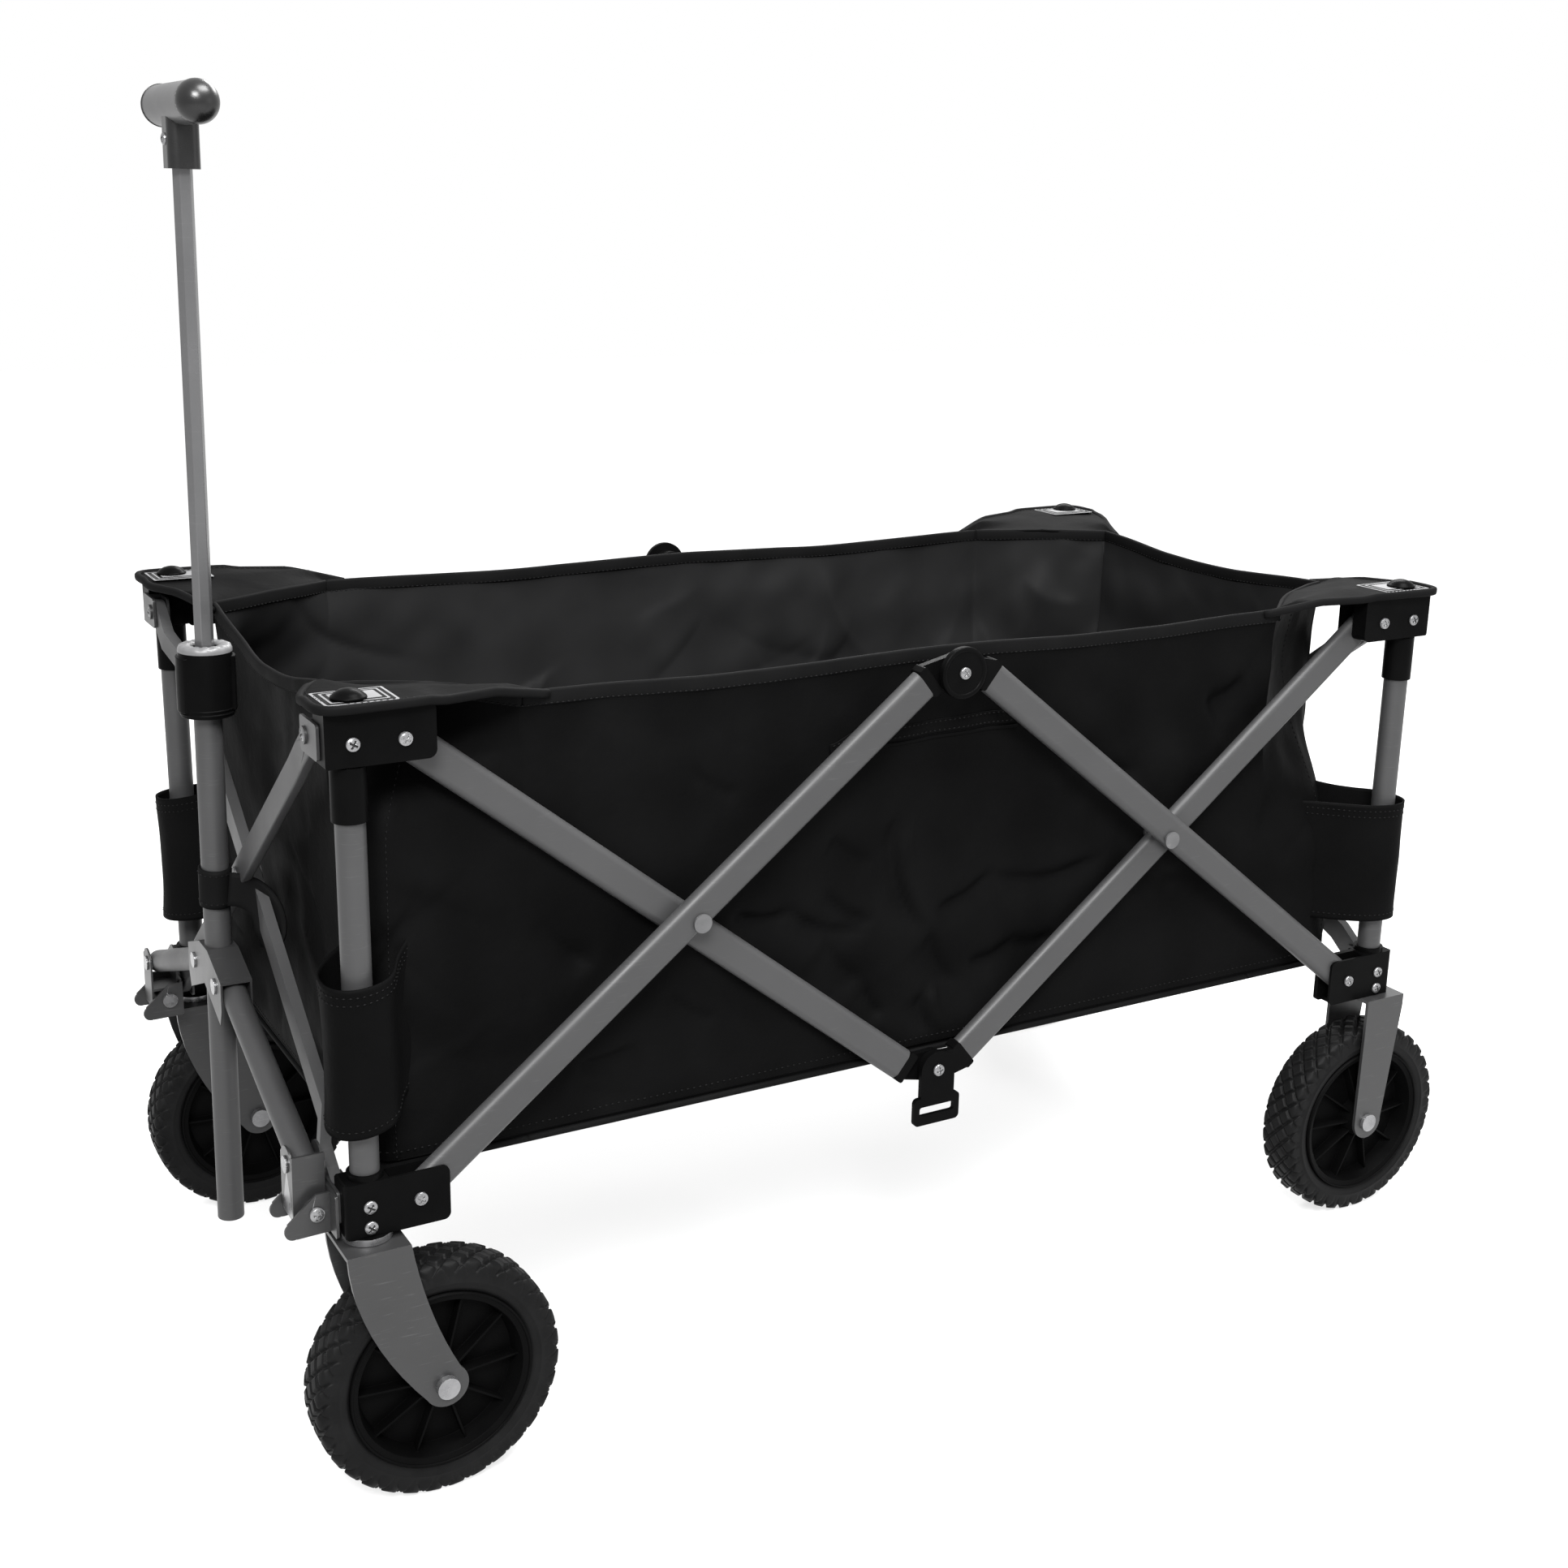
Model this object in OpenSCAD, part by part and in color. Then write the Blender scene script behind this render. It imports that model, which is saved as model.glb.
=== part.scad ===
/* [Frame] */
// Distance between the front and rear posts
post_spacing = 920; // [900:1:940]
// Distance between the left and right post axes
post_width = 472; // [470:1:476]
// Outer diameter of the fixed posts
post_d = 20; // [19:0.5:20]
// Outer diameter of the sliding posts
inner_post_d = 16; // [15:0.5:16]
// Height of the lower scissor pivots above the floor
low_z = 228; // [224:1:232]
// Rise from the lower to the upper scissor pivots
rise = 321; // [316:1:324]

/* [Scissor bars] */
// Depth of a side bar, seen from the side
bar_depth = 25; // [22:1:25]
// How far the middle hinges sit off the bars' centre lines
hinge_offset = 12.5; // [10:0.5:13]
// Width of an end bar
end_bar_w = 20; // [16:1:20]
// Radius of the scissor pivot pins
pin_r = 4; // [3:0.5:4]

/* [Wheels] */
// Wheel diameter over the tread
wheel_d = 178; // [170:1:180]
// Tyre width
tyre_w = 38; // [34:1:38]
// Height of the axles
axle_z = 89; // [89:1:92]
// Caster trail, from swivel axis to front axle
trail = 43.5; // [40:0.5:46]

/* [Handle] */
// Backward lean of the parked handle, in degrees
lean = 0.8; // [0:0.1:0.8]
// Lower end of the outer handle tube
tube_bottom = 113; // [105:1:125]
// Height of the pull grip's axis
grip_z = 935; // [900:1:950]
// Grip diameter
grip_d = 28; // [24:1:30]

/* [Bag] */
// Height of the bag's bottom
bag_bottom = 243; // [243:1:250]
// Height of the bag's rim
bag_top = 567; // [550:1:570]
// Thickness of the bag's padded walls
bag_wall = 3; // [3:0.5:5]

/* [Hidden] */
$fn = 48;
// Gap that keeps two pieces of one node apart where they are clamped together
hairline = 0.02;
run_clear = 0.05;
half_len = post_spacing / 2;
half_w = post_width / 2;
high_z = low_z + rise;
mid_z = low_z + rise / 2;
pivot_x = half_len - 34;
end_pivot_y = pivot_x / 2;
x_centre = pivot_x / 2;
bore_r = pin_r + run_clear;

// Layers across the width, measured from the middle plane
outer_layer = [234, 246];
inner_layer = [222, 233];
bracket_face = half_w + 12.5;
block_face = half_w - post_d / 2;
bracket_in_x = half_len - 55;
bracket_out_x = half_len + 18;
block_x = half_len - 14;

// Layers along the length, used by the end scissors
end_inner = [460, 468];
end_outer = [468.6, 476.6];
end_tip = [469.5, 477.5];
clip_face = bracket_out_x + 2;

rear_axle_x = half_len - 2.5;
rear_wheel_y = 234;
front_axle_x = half_len - trail;
wheel_r = wheel_d / 2;
axle_r = 5;

// Handle hinge: bolt along the width, ahead of the front posts
hinge = [-491, 222];
hinge_tip = 513;
handle_x = -493.5;
yoke_pivot = [205, 252];
centre_pivot = [30, 316];
tube_r = 10;
cross_r = 9.3;
sleeve = [514, 564];
rod_r = 7;
head_r = 4.4;
corner_r = 5;

// The origin is the middle of the object's plan, so everything shifts by this
shift_x = (hinge_tip - rear_axle_x - wheel_r) / 2;

// Corner name, end (-1 front, 1 rear), side (-1 left, 1 right)
CORNERS = [["fl", -1, -1], ["fr", -1, 1], ["rl", 1, -1], ["rr", 1, 1]];
SIDES = [["l", -1], ["r", 1]];
ENDS = [["front", -1], ["rear", 1]];
BY_CORNER = ["lower_bracket_", "post_", "inner_post_", "upper_bracket_",
    "side_bar_outer_", "side_bar_inner_", "fork_", "wheel_hub_", "tyre_"];
BY_SIDE = ["top_hinge_", "strap_buckle_", "hinge_plate_", "yoke_", "cross_tube_"];

steel = "#77797b";
plastic = "#1d1d1e";
zinc = "#c9cacb";
rubber = "#141414";
cloth = "#1b1b1c";

// ---------- helpers ----------

// Mirrors a part made for the rear right corner to another corner
module at_corner(e, s) {
    translate([shift_x, 0, 0])
        mirror([e < 0 ? 1 : 0, 0, 0])
            mirror([0, s < 0 ? 1 : 0, 0])
                children();
}

module at_side(s) {
    translate([shift_x, 0, 0])
        mirror([0, s < 0 ? 1 : 0, 0])
            children();
}

// The parked handle leans back about its hinge bolt
module leaned() {
    translate([shift_x + hinge[0], 0, hinge[1]])
        rotate([0, lean, 0])
            translate([-hinge[0], 0, -hinge[1]])
                children();
}

// Extrudes a side view (length, height) from y0 to y1
module slab_y(y0, y1) {
    translate([0, y1, 0]) rotate([90, 0, 0]) linear_extrude(y1 - y0) children();
}

// Extrudes an end view (width, height) from x0 to x1
module slab_x(x0, x1) {
    translate([x0, 0, 0]) rotate([90, 0, 90]) linear_extrude(x1 - x0) children();
}

module rod_y(x, z, r, y0, y1) {
    translate([x, y1, z]) rotate([90, 0, 0]) cylinder(r = r, h = y1 - y0);
}

module rod_x(y, z, r, x0, x1) {
    translate([x0, y, z]) rotate([0, 90, 0]) cylinder(r = r, h = x1 - x0);
}

module rod_z(x, y, r, z0, z1) {
    translate([x, y, z0]) cylinder(r = r, h = z1 - z0);
}

// Rectangle between two corners with rounded corners
module rounded(x0, y0, x1, y1, r) {
    translate([x0 + r, y0]) square([x1 - x0 - 2 * r, y1 - y0]);
    translate([x0, y0 + r]) square([x1 - x0, y1 - y0 - 2 * r]);
    for (x = [x0 + r, x1 - r], y = [y0 + r, y1 - r])
        translate([x, y]) circle(r = r);
}

// Cross-section of a flat-oval tube
module oval(thick, deep) {
    square([thick, deep - thick], center = true);
    for (side = [-1, 1]) translate([0, side * (deep - thick) / 2]) circle(d = thick);
}

// Points of a quadratic curve from a to c, pulled towards b
function curve(a, b, c, n = 10) =
    [for (i = [0:n]) let (t = i / n) (1 - t) * (1 - t) * a + 2 * t * (1 - t) * b + t * t * c];

// ---------- posts and corner brackets ----------

// U clip on a bracket's end face, which holds an end bar's pivot pin
module end_clip(z, headed) {
    clip_h = 12;
    color(steel) {
        difference() {
            union() {
                slab_x(bracket_out_x + hairline, clip_face)
                    rounded(203, z - clip_h, 238, z + clip_h, 3);
                slab_x(467.2, bracket_out_x + 1)
                    translate([block_face - 2, z - clip_h]) square([2 - hairline, 2 * clip_h]);
                slab_x(467.2, 469) rounded(203, z - clip_h, block_face - hairline, z + clip_h, 3);
            }
            rod_x(end_pivot_y, z, pin_r + 0.1, 466, 481);
        }
    }
    color(zinc) {
        rod_x(end_pivot_y, z, pin_r, 465, headed ? clip_face + 1.6 : clip_face);
        difference() {
            rod_x(end_pivot_y, z, 6, 465.2, 467.1);
            rod_x(end_pivot_y, z, pin_r + hairline, 465, 468);
        }
        if (headed) difference() {
            rod_x(end_pivot_y, z, 6, clip_face + hairline, clip_face + 1.6);
            rod_x(end_pivot_y, z, pin_r + hairline, clip_face - 1, clip_face + 2);
        }
    }
}

// Bolt across a bracket, with its head outside
module bracket_bolt(z, y0) {
    color(zinc) union() {
        rod_y(pivot_x, z, pin_r, y0, bracket_face + 1);
        rod_y(pivot_x, z, head_r, bracket_face + hairline, bracket_face + 2);
    }
}

// What is cut off a bracket's outer vertical edge to round it
module edge_cut(bottom, top) {
    translate([bracket_out_x - corner_r, bracket_face - corner_r, bottom - 1])
        linear_extrude(top - bottom + 2) difference() {
            square(corner_r + 1);
            circle(r = corner_r);
        }
}

module lower_bracket(e, s) {
    top = low_z + 20;
    bottom = low_z - 20;
    cheek = [229.3, 233.7];
    at_corner(e, s) {
        color(plastic) difference() {
            union() {
                slab_y(246.3, bracket_face) rounded(bracket_in_x, bottom, bracket_out_x, top, 5);
                slab_y(cheek[0], cheek[1]) rounded(bracket_in_x, bottom, block_x + 3, top, 3);
                slab_y(block_face, bracket_face)
                    rounded(block_x, bottom, bracket_out_x, top, 2);
                translate([bracket_in_x + 6, cheek[0], bottom])
                    cube([block_x - bracket_in_x, bracket_face - cheek[0], 3.5]);
                rod_z(half_len, half_w, 12.5, top - 1, top + 4);
                rod_z(half_len, half_w, inner_post_d / 2, top, top + 9);
            }
            difference() {
                rod_z(half_len, half_w, post_d / 2 + run_clear, top, top + 5);
                rod_z(half_len, half_w, inner_post_d / 2, top - 1, top + 6);
            }
            rod_y(pivot_x, low_z, pin_r + 0.1, cheek[0] - 1, bracket_face + 1);
            edge_cut(bottom, top);
        }
        bracket_bolt(low_z, cheek[0]);
        end_clip(low_z, e > 0);
        if (e < 0) caster_pin(bottom);
    }
}

// King pin of a front caster: race disc above the fork, nut below it
module caster_pin(z) {
    color(zinc) union() {
        rod_z(half_len, half_w, 6, z - 18, z - 1);
        rod_z(half_len, half_w, 17, z - 4.6, z - hairline);
        translate([half_len, half_w, z - 16]) cylinder(r = 9.5, h = 7.2, $fn = 6);
    }
}

module post(e, s) {
    foot = low_z + 20;
    top = high_z - 19;
    at_corner(e, s) {
        color(steel) difference() {
            rod_z(half_len, half_w, post_d / 2, foot, top);
            rod_z(half_len, half_w, post_d / 2 - 1.5, foot - 1, top + 1);
        }
        // Plastic guide collar on the post's top
        color(plastic) difference() {
            rod_z(half_len, half_w, post_d / 2 + 2, top - 34, top + 3);
            rod_z(half_len, half_w, post_d / 2 + hairline, top - 35, top + hairline);
            rod_z(half_len, half_w, inner_post_d / 2 + 0.08, top - 1, top + 4);
        }
    }
}

module inner_post(e, s) {
    at_corner(e, s) color(steel) difference() {
        rod_z(half_len, half_w, inner_post_d / 2, low_z + 34, high_z + 15);
        rod_z(half_len, half_w, inner_post_d / 2 - 1.2, low_z + 33, high_z + 16);
    }
}

module upper_bracket(e, s) {
    bottom = high_z - 15;
    top = high_z + 23;
    at_corner(e, s) {
        color(plastic) difference() {
            union() {
                slab_y(233.8, bracket_face) rounded(bracket_in_x, bottom, bracket_out_x, top, 6);
                slab_y(217.4, 221.4) rounded(bracket_in_x, bottom, block_x + 3, top, 3);
                slab_y(block_face, bracket_face)
                    rounded(block_x, bottom, bracket_out_x, top, 2);
                translate([bracket_in_x + 6, 217.4, top - 4])
                    cube([block_x - bracket_in_x, bracket_face - 217.4, 4]);
            }
            rod_z(half_len, half_w, inner_post_d / 2 + run_clear, bottom - 1, high_z + 15.2);
            rod_y(pivot_x, high_z, pin_r + 0.1, 216, bracket_face + 1);
        }
        bracket_bolt(high_z, 217.4);
        end_clip(high_z, true);
    }
}

// ---------- scissor bars ----------

// A side bar from its corner pivot to its middle hinge. The hinge lies off the centre line,
// so that two bars fold nearly parallel. up is 1 where the tube runs above its hinge.
module side_bar(corner, hinge_at, up, layer, arm_layer, pinned) {
    reach = hinge_at - corner;
    length = norm(reach);
    // the tube's line is tilted a little from the line between the pivots
    tilt = up * asin(hinge_offset / length);
    angle = atan2(reach[1], reach[0]);
    tube_angle = angle + (reach[0] < 0 ? -tilt : tilt);
    side = reach[0] < 0 ? -up : up;
    along = length * cos(tilt);
    thick = layer[1] - layer[0];
    mid_y = (layer[0] + layer[1]) / 2;
    gap = 28;
    translate([corner[0], 0, corner[1]]) rotate([0, -tube_angle, 0]) {
        color(steel) difference() {
            translate([-9, mid_y, 0]) rotate([90, 0, 90]) linear_extrude(along - gap + 9)
                difference() {
                    oval(thick, bar_depth);
                    oval(thick - 2.6, bar_depth - 2.6);
                }
            rod_y(0, 0, bore_r, layer[0] - 1, layer[1] + 1);
            rod_y(along / 2, -side * hinge_offset / 2, bore_r, layer[0] - 1, layer[1] + 1);
        }
        color(plastic) difference() {
            union() {
                // plug that holds the arm in the tube's end
                translate([along - gap - 14, mid_y, 0]) rotate([90, 0, 90]) linear_extrude(16)
                    oval(thick - 2.7, bar_depth - 2.7);
                slab_y(layer[0], layer[1]) rounded(along - gap + hairline, -bar_depth / 2,
                    along - gap + 8, bar_depth / 2, 2);
                slab_y(arm_layer[0], arm_layer[1]) {
                    translate([along, -side * hinge_offset]) circle(r = 13);
                    translate([along, -side * hinge_offset]) polygon([
                        [-21, side * 1], [-21, side * 24], [3, side * 12.6], [-6, -side * 11.5]]);
                }
            }
            rod_y(along, -side * hinge_offset, bore_r, layer[0] - 1, layer[1] + 1);
        }
        // crossing rivet, carried by the inner bar
        if (pinned) color(zinc) union() {
            rod_y(along / 2, -side * hinge_offset / 2, pin_r, 221.6, 246.4);
            rod_y(along / 2, -side * hinge_offset / 2, 7, 246.3, 248);
            rod_y(along / 2, -side * hinge_offset / 2, 7, 219.8, 221.7);
        }
    }
}

module side_bar_outer(e, s) {
    arms = e > 0 ? [240.3, 246] : [234, 239.7];
    at_corner(e, s)
        side_bar([pivot_x, low_z], [0, high_z], 1, outer_layer, arms, false);
}

module side_bar_inner(e, s) {
    arms = e > 0 ? [227.8, 233] : [222, 227.2];
    at_corner(e, s)
        side_bar([pivot_x, high_z], [0, low_z], -1, inner_layer, arms, true);
}

module top_hinge(s) {
    at_side(s) {
        color(plastic) difference() {
            rod_y(0, high_z, 19.5, 246.3, 250.3);
            rod_y(0, high_z, pin_r + 0.1, 246, 251);
        }
        color(zinc) union() {
            rod_y(0, high_z, pin_r, 231, 251);
            rod_y(0, high_z, 8, 231, 233.5);
            rod_y(0, high_z, 4.2, 250.3 + hairline, 252.3);
        }
    }
}

// Hanging tab with a webbing slot, on the lower middle hinge
module strap_buckle(s) {
    slot_z = low_z - 33;
    at_side(s) {
        color(plastic) difference() {
            slab_y(233.6, 237.6) difference() {
                union() {
                    translate([0, low_z]) circle(r = 15.5);
                    translate([-15.5, slot_z + 8]) square([31, low_z - slot_z - 8]);
                    rounded(-21, slot_z - 12, 21, slot_z + 11, 4);
                }
                rounded(-16, slot_z - 4, 16, slot_z + 3.5, 2);
            }
            rod_y(0, low_z, pin_r + 0.1, 233, 238);
        }
        color(zinc) union() {
            rod_y(0, low_z, pin_r, 220.5, 238);
            rod_y(0, low_z, 7, 219.7, 221.7);
            rod_y(0, low_z, head_r, 237.6 + hairline, 239.4);
        }
    }
}

// An end bar's edge view: (distance along the bar, place along the wagon)
function jogged(tip, middle, reach) = [
    [-reach, tip[0]], [-235, tip[0]], [-205, middle[0]], [205, middle[0]], [235, tip[0]],
    [reach, tip[0]], [reach, tip[1]], [235, tip[1]], [205, middle[1]], [-205, middle[1]],
    [-235, tip[1]], [-reach, tip[1]]];

// Flattened steel end bar. dir is 1 where its left end is the lower one
module end_bar(e, middle, dir, pinned) {
    reach = norm([end_pivot_y, rise / 2]);
    angle = dir * atan2(rise / 2, end_pivot_y);
    translate([shift_x, 0, 0]) mirror([e < 0 ? 1 : 0, 0, 0]) translate([0, 0, mid_z]) {
        color(steel) difference() {
            rotate([angle, 0, 0]) {
                // the edge view is drawn flat, then stood up so that it runs along y
                translate([0, 0, -end_bar_w / 2]) rotate([0, 0, 90]) mirror([0, 1, 0])
                    linear_extrude(end_bar_w) polygon(jogged(end_tip, middle, reach));
                for (side = [-1, 1])
                    rod_x(side * reach, 0, end_bar_w / 2, end_tip[0], end_tip[1]);
            }
            rotate([angle, 0, 0]) for (at = [-reach, 0, reach])
                rod_x(at, 0, bore_r, 459, 479);
        }
        if (pinned) color(zinc) union() {
            rod_x(0, 0, pin_r, 458.4, 477.4);
            rod_x(0, 0, 7, 458, 459.8);
            rod_x(0, 0, 7, 476.8, 478);
        }
    }
}

// ---------- wheels and forks ----------

module axle_bolt(x, y, half_gap, head) {
    color(zinc) union() {
        rod_y(x, axle_z, axle_r, y - half_gap - 4, y + half_gap + 3);
        rod_y(x, axle_z, 8, y + half_gap + 3 + hairline, y + half_gap + 3 + head);
        rod_y(x, axle_z, 8, y - half_gap - 3 - head, y - half_gap - 3 - hairline);
    }
}

// Swept caster leg, seen from the side
module caster_leg() {
    top = low_z - 25;
    polygon(concat(
        curve([half_len + 22, top], [half_len + 20, 142], [front_axle_x + 13, axle_z - 9]),
        [[front_axle_x, axle_z - 16], [front_axle_x - 13, axle_z - 9]],
        curve([front_axle_x - 15, axle_z + 4], [half_len - 32, 140], [half_len - 22, top])));
    translate([front_axle_x, axle_z]) circle(r = 16);
}

// Straight tapering leg of a rear fork, seen from the side
module rear_leg() {
    polygon([[444, low_z - 20], [487, low_z - 20], [487, low_z - 30],
        [rear_axle_x + 16, axle_z + 3], [rear_axle_x - 15, axle_z + 1], [444, low_z - 34]]);
    translate([rear_axle_x + 0.5, axle_z]) circle(r = 15.5);
}

module fork(e, s) {
    front = e < 0;
    y = front ? half_w : rear_wheel_y;
    gap = front ? 23 : 21;
    x = front ? front_axle_x : rear_axle_x;
    top = front ? low_z - 25 : low_z - 20;
    x0 = front ? half_len - 22 : 444;
    x1 = front ? half_len + 22 : 487;
    at_corner(e, s) {
        color(steel) difference() {
            union() {
                translate([x0, y - gap - 3, top - 3]) cube([x1 - x0, 2 * gap + 6, 3]);
                for (side = [-1, 1])
                    slab_y(y + side * (gap + 1.5) - 1.5, y + side * (gap + 1.5) + 1.5)
                        if (front) caster_leg(); else rear_leg();
            }
            rod_y(x, axle_z, axle_r + 0.1, y - gap - 5, y + gap + 5);
            if (front) rod_z(half_len, half_w, 6.08, top - 4, top + 1);
        }
        axle_bolt(x, y, gap, front ? 5 : 3);
    }
}

// Dished wheel centre with thin ribs
module wheel_hub(e, s) {
    x = e < 0 ? front_axle_x : rear_axle_x;
    y = e < 0 ? half_w : rear_wheel_y;
    rim_r = 65.8;
    at_corner(e, s) translate([x, y, axle_z]) color(plastic) difference() {
        union() {
            rotate([90, 0, 0]) rotate_extrude() polygon([
                [axle_r + 0.08, -20.4], [15, -20.4], [17, -6], [56, -3], [60, -17], [64.5, -18.6],
                [rim_r, -17], [rim_r, 17], [64.5, 18.6], [60, 17], [56, 3], [17, 6], [15, 20.4],
                [axle_r + 0.08, 20.4]]);
            for (i = [0:9]) rotate([0, 36 * i, 0])
                translate([14.5, 0, -0.8]) linear_extrude(1.6)
                    polygon([[0, -16], [44.5, -11], [44.5, 11], [0, 16]]);
        }
        rod_y(0, 0, axle_r + 0.08, -22, 22);
    }
}

module tyre(e, s) {
    x = e < 0 ? front_axle_x : rear_axle_x;
    y = e < 0 ? half_w : rear_wheel_y;
    half = tyre_w / 2;
    at_corner(e, s) translate([x, y, axle_z]) rotate([90, 0, 0]) color(rubber)
        rotate_extrude() polygon(concat(
            [[66, -half + 3], [70, -half + 0.5]],
            curve([78, -half], [wheel_r - 2, -half + 1], [wheel_r, -half + 11], 5),
            curve([wheel_r, half - 11], [wheel_r - 2, half - 1], [78, half], 5),
            [[70, half - 0.5], [66, half - 3]]));
}

// ---------- folding pull handle ----------

// Grey channel on a lower front bracket, whose two ears hold the hinge bolt
module hinge_plate(s) {
    bolt_x = -hinge[0];
    at_corner(-1, s) {
        color(steel) difference() {
            union() {
                slab_x(clip_face + hairline, clip_face + 2)
                    rounded(189, 207, 240, 238, 2);
                for (y = [189, 224.5]) slab_y(y, y + 2) {
                    polygon([[clip_face + 1, 207], [clip_face + 1, 236], [bolt_x, 236],
                        [hinge_tip - 2, 218], [hinge_tip - 8, 206.5]]);
                    translate([hinge_tip - 6, 212.5]) circle(r = 6);
                }
            }
            rod_y(bolt_x, hinge[1], pin_r + 0.1, 188, 228);
        }
        color(zinc) union() {
            rod_y(bolt_x, hinge[1], pin_r, 187.5, 228);
            rod_y(bolt_x, hinge[1], 5, 226.6, 228.6);
            rod_y(bolt_x, hinge[1], 6, 186.5, 188.9);
        }
    }
}

// Channel that tilts on the hinge bolt and holds a cross tube's outer end. The outer web of
// the right one stays low, because its cross tube's pivot is the open one.
module yoke(s) {
    front = -504.7;
    rear = -482.6;
    web_top = s < 0 ? 262 : 238;
    leaned() mirror([0, s < 0 ? 1 : 0, 0]) {
        color(steel) difference() {
            union() {
                slab_x(front, front + 1.5) {
                    rounded(192.5, 215, 219.2, 258, 2);
                    translate([yoke_pivot[0], yoke_pivot[1]]) circle(r = 12.5);
                }
                slab_x(rear - 1.4, rear) {
                    rounded(192.5, 230, 219.2, 258, 2);
                    translate([yoke_pivot[0], yoke_pivot[1]]) circle(r = 12.5);
                }
                translate([front, 192.5, 230]) cube([rear - front, 26.7, 2]);
                slab_y(217.2, 219.2) polygon([[front, 215], [front, web_top], [rear, web_top],
                    [rear, 229], [hinge[0] + 2, 215]]);
                rod_y(hinge[0], hinge[1], 8, 191.6, 223.9);
                translate([hinge[0] - 3, 192.5, hinge[1] + 5]) cube([6, 26.7, 4]);
            }
            rod_y(hinge[0], hinge[1], bore_r, 190, 225);
            if (s < 0) rod_x(yoke_pivot[0], yoke_pivot[1], pin_r + 0.1, front - 1, rear + 1);
        }
        color(zinc) union() {
            rod_x(yoke_pivot[0], yoke_pivot[1], 6, front - 1.5, front - hairline);
            if (s < 0) rod_x(yoke_pivot[0], yoke_pivot[1], pin_r, front - 1, rear);
        }
    }
}

module cross_tube(s) {
    reach = centre_pivot - yoke_pivot;
    length = norm(reach);
    leaned() mirror([0, s < 0 ? 1 : 0, 0])
        translate([handle_x, yoke_pivot[0], yoke_pivot[1]])
            rotate([atan2(reach[1], reach[0]), 0, 0])
                color(steel) difference() {
                    translate([0, -6, 0]) rotate([-90, 0, 0]) cylinder(r = cross_r, h = length + 12);
                    translate([0, -7, 0]) rotate([-90, 0, 0])
                        cylinder(r = cross_r - 1.4, h = length + 14);
                    for (at = [0, length]) rod_x(at, 0, bore_r, -11, 11);
                }
}

// Stamped channel that joins the two cross tubes to the handle tube
module handle_bracket() {
    front = -505.1;
    rear = -481.9;
    wall = 1.5;
    leaned() {
        color(steel) difference() {
            slab_x(front, rear) polygon([[-48, 302], [-43, 290], [0, 308], [43, 290], [48, 302],
                [48, 324.4], [12, 337.5], [-12, 337.5], [-48, 324.4]]);
            slab_x(front + wall, rear - wall) polygon([[-60, 270], [60, 270], [60, 317.9],
                [12, 335.4], [-12, 335.4], [-60, 317.9]]);
            rod_z(handle_x, 0, tube_r + 0.02, 280, 345);
            for (side = [-1, 1])
                rod_x(side * centre_pivot[0], centre_pivot[1], pin_r + 0.1, front - 1, rear + 1);
        }
        color(zinc) for (side = [-1, 1]) {
            rod_x(side * centre_pivot[0], centre_pivot[1], pin_r, front - 1, rear);
            rod_x(side * centre_pivot[0], centre_pivot[1], 6, front - 1.5, front - hairline);
        }
    }
}

module handle_tube() {
    leaned() color(steel) difference() {
        rod_z(handle_x, 0, tube_r, tube_bottom, sleeve[0] + 26);
        rod_z(handle_x, 0, tube_r - 1.5, tube_bottom - 1, sleeve[0] + 27);
    }
}

// Twist-lock sleeve on the tube's top
module lock_collar() {
    leaned() color(plastic) difference() {
        union() {
            rod_z(handle_x, 0, 19, sleeve[0], sleeve[1]);
            translate([handle_x, 0, sleeve[0] + 4])
                linear_extrude(sleeve[1] - sleeve[0] - 10) intersection() {
                    circle(r = 21);
                    square([44, 22], center = true);
                }
        }
        rod_z(handle_x, 0, tube_r + 0.08, sleeve[0] - 1, sleeve[0] + 26.5);
        rod_z(handle_x, 0, rod_r + 0.6, sleeve[0] + 20, sleeve[1] + 1);
    }
}

module handle_rod() {
    leaned() color(steel) translate([handle_x, 0, 455])
        cylinder(r = rod_r, h = grip_z - 30 - 455, $fn = 6);
}

module t_socket() {
    leaned() color(plastic) difference() {
        translate([handle_x, 0, grip_z - 42]) linear_extrude(37) rounded(-11, -12, 11, 12, 7);
        rod_y(handle_x, grip_z, grip_d / 2 + run_clear, -20, 20);
        translate([handle_x, 0, grip_z - 43]) cylinder(r = rod_r, h = 13, $fn = 6);
    }
}

module grip() {
    leaned() color(steel) rod_y(handle_x, grip_z, grip_d / 2, -48, 48);
}

module grip_caps() {
    leaned() color(plastic) for (side = [-1, 1]) intersection() {
        translate([handle_x, side * 48, grip_z]) sphere(r = grip_d / 2 + 0.5);
        translate([handle_x - 20, side > 0 ? 48 : -68, grip_z - 20]) cube([40, 20, 40]);
    }
}

// Webbing loop round the handle tube
module handle_strap() {
    leaned() color(cloth) difference() {
        rod_z(handle_x, 0, tube_r + 1.6, 370, 397);
        rod_z(handle_x, 0, tube_r + 0.2, 369, 398);
    }
}

// ---------- bag ----------

// Plan of the bag with chamfered corners, drawn inwards by inset
module bag_plan(inset) {
    long = half_len - 14;
    wide = 219;
    a = [wide - 69 - 0.556 * inset, long - inset];
    b = [wide - inset, 335 - 0.286 * inset];
    polygon([[a[1], a[0]], [b[1], b[0]], [-b[1], b[0]], [-a[1], a[0]],
        [-a[1], -a[0]], [-b[1], -b[0]], [b[1], -b[0]], [a[1], -a[0]]]);
}

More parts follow.
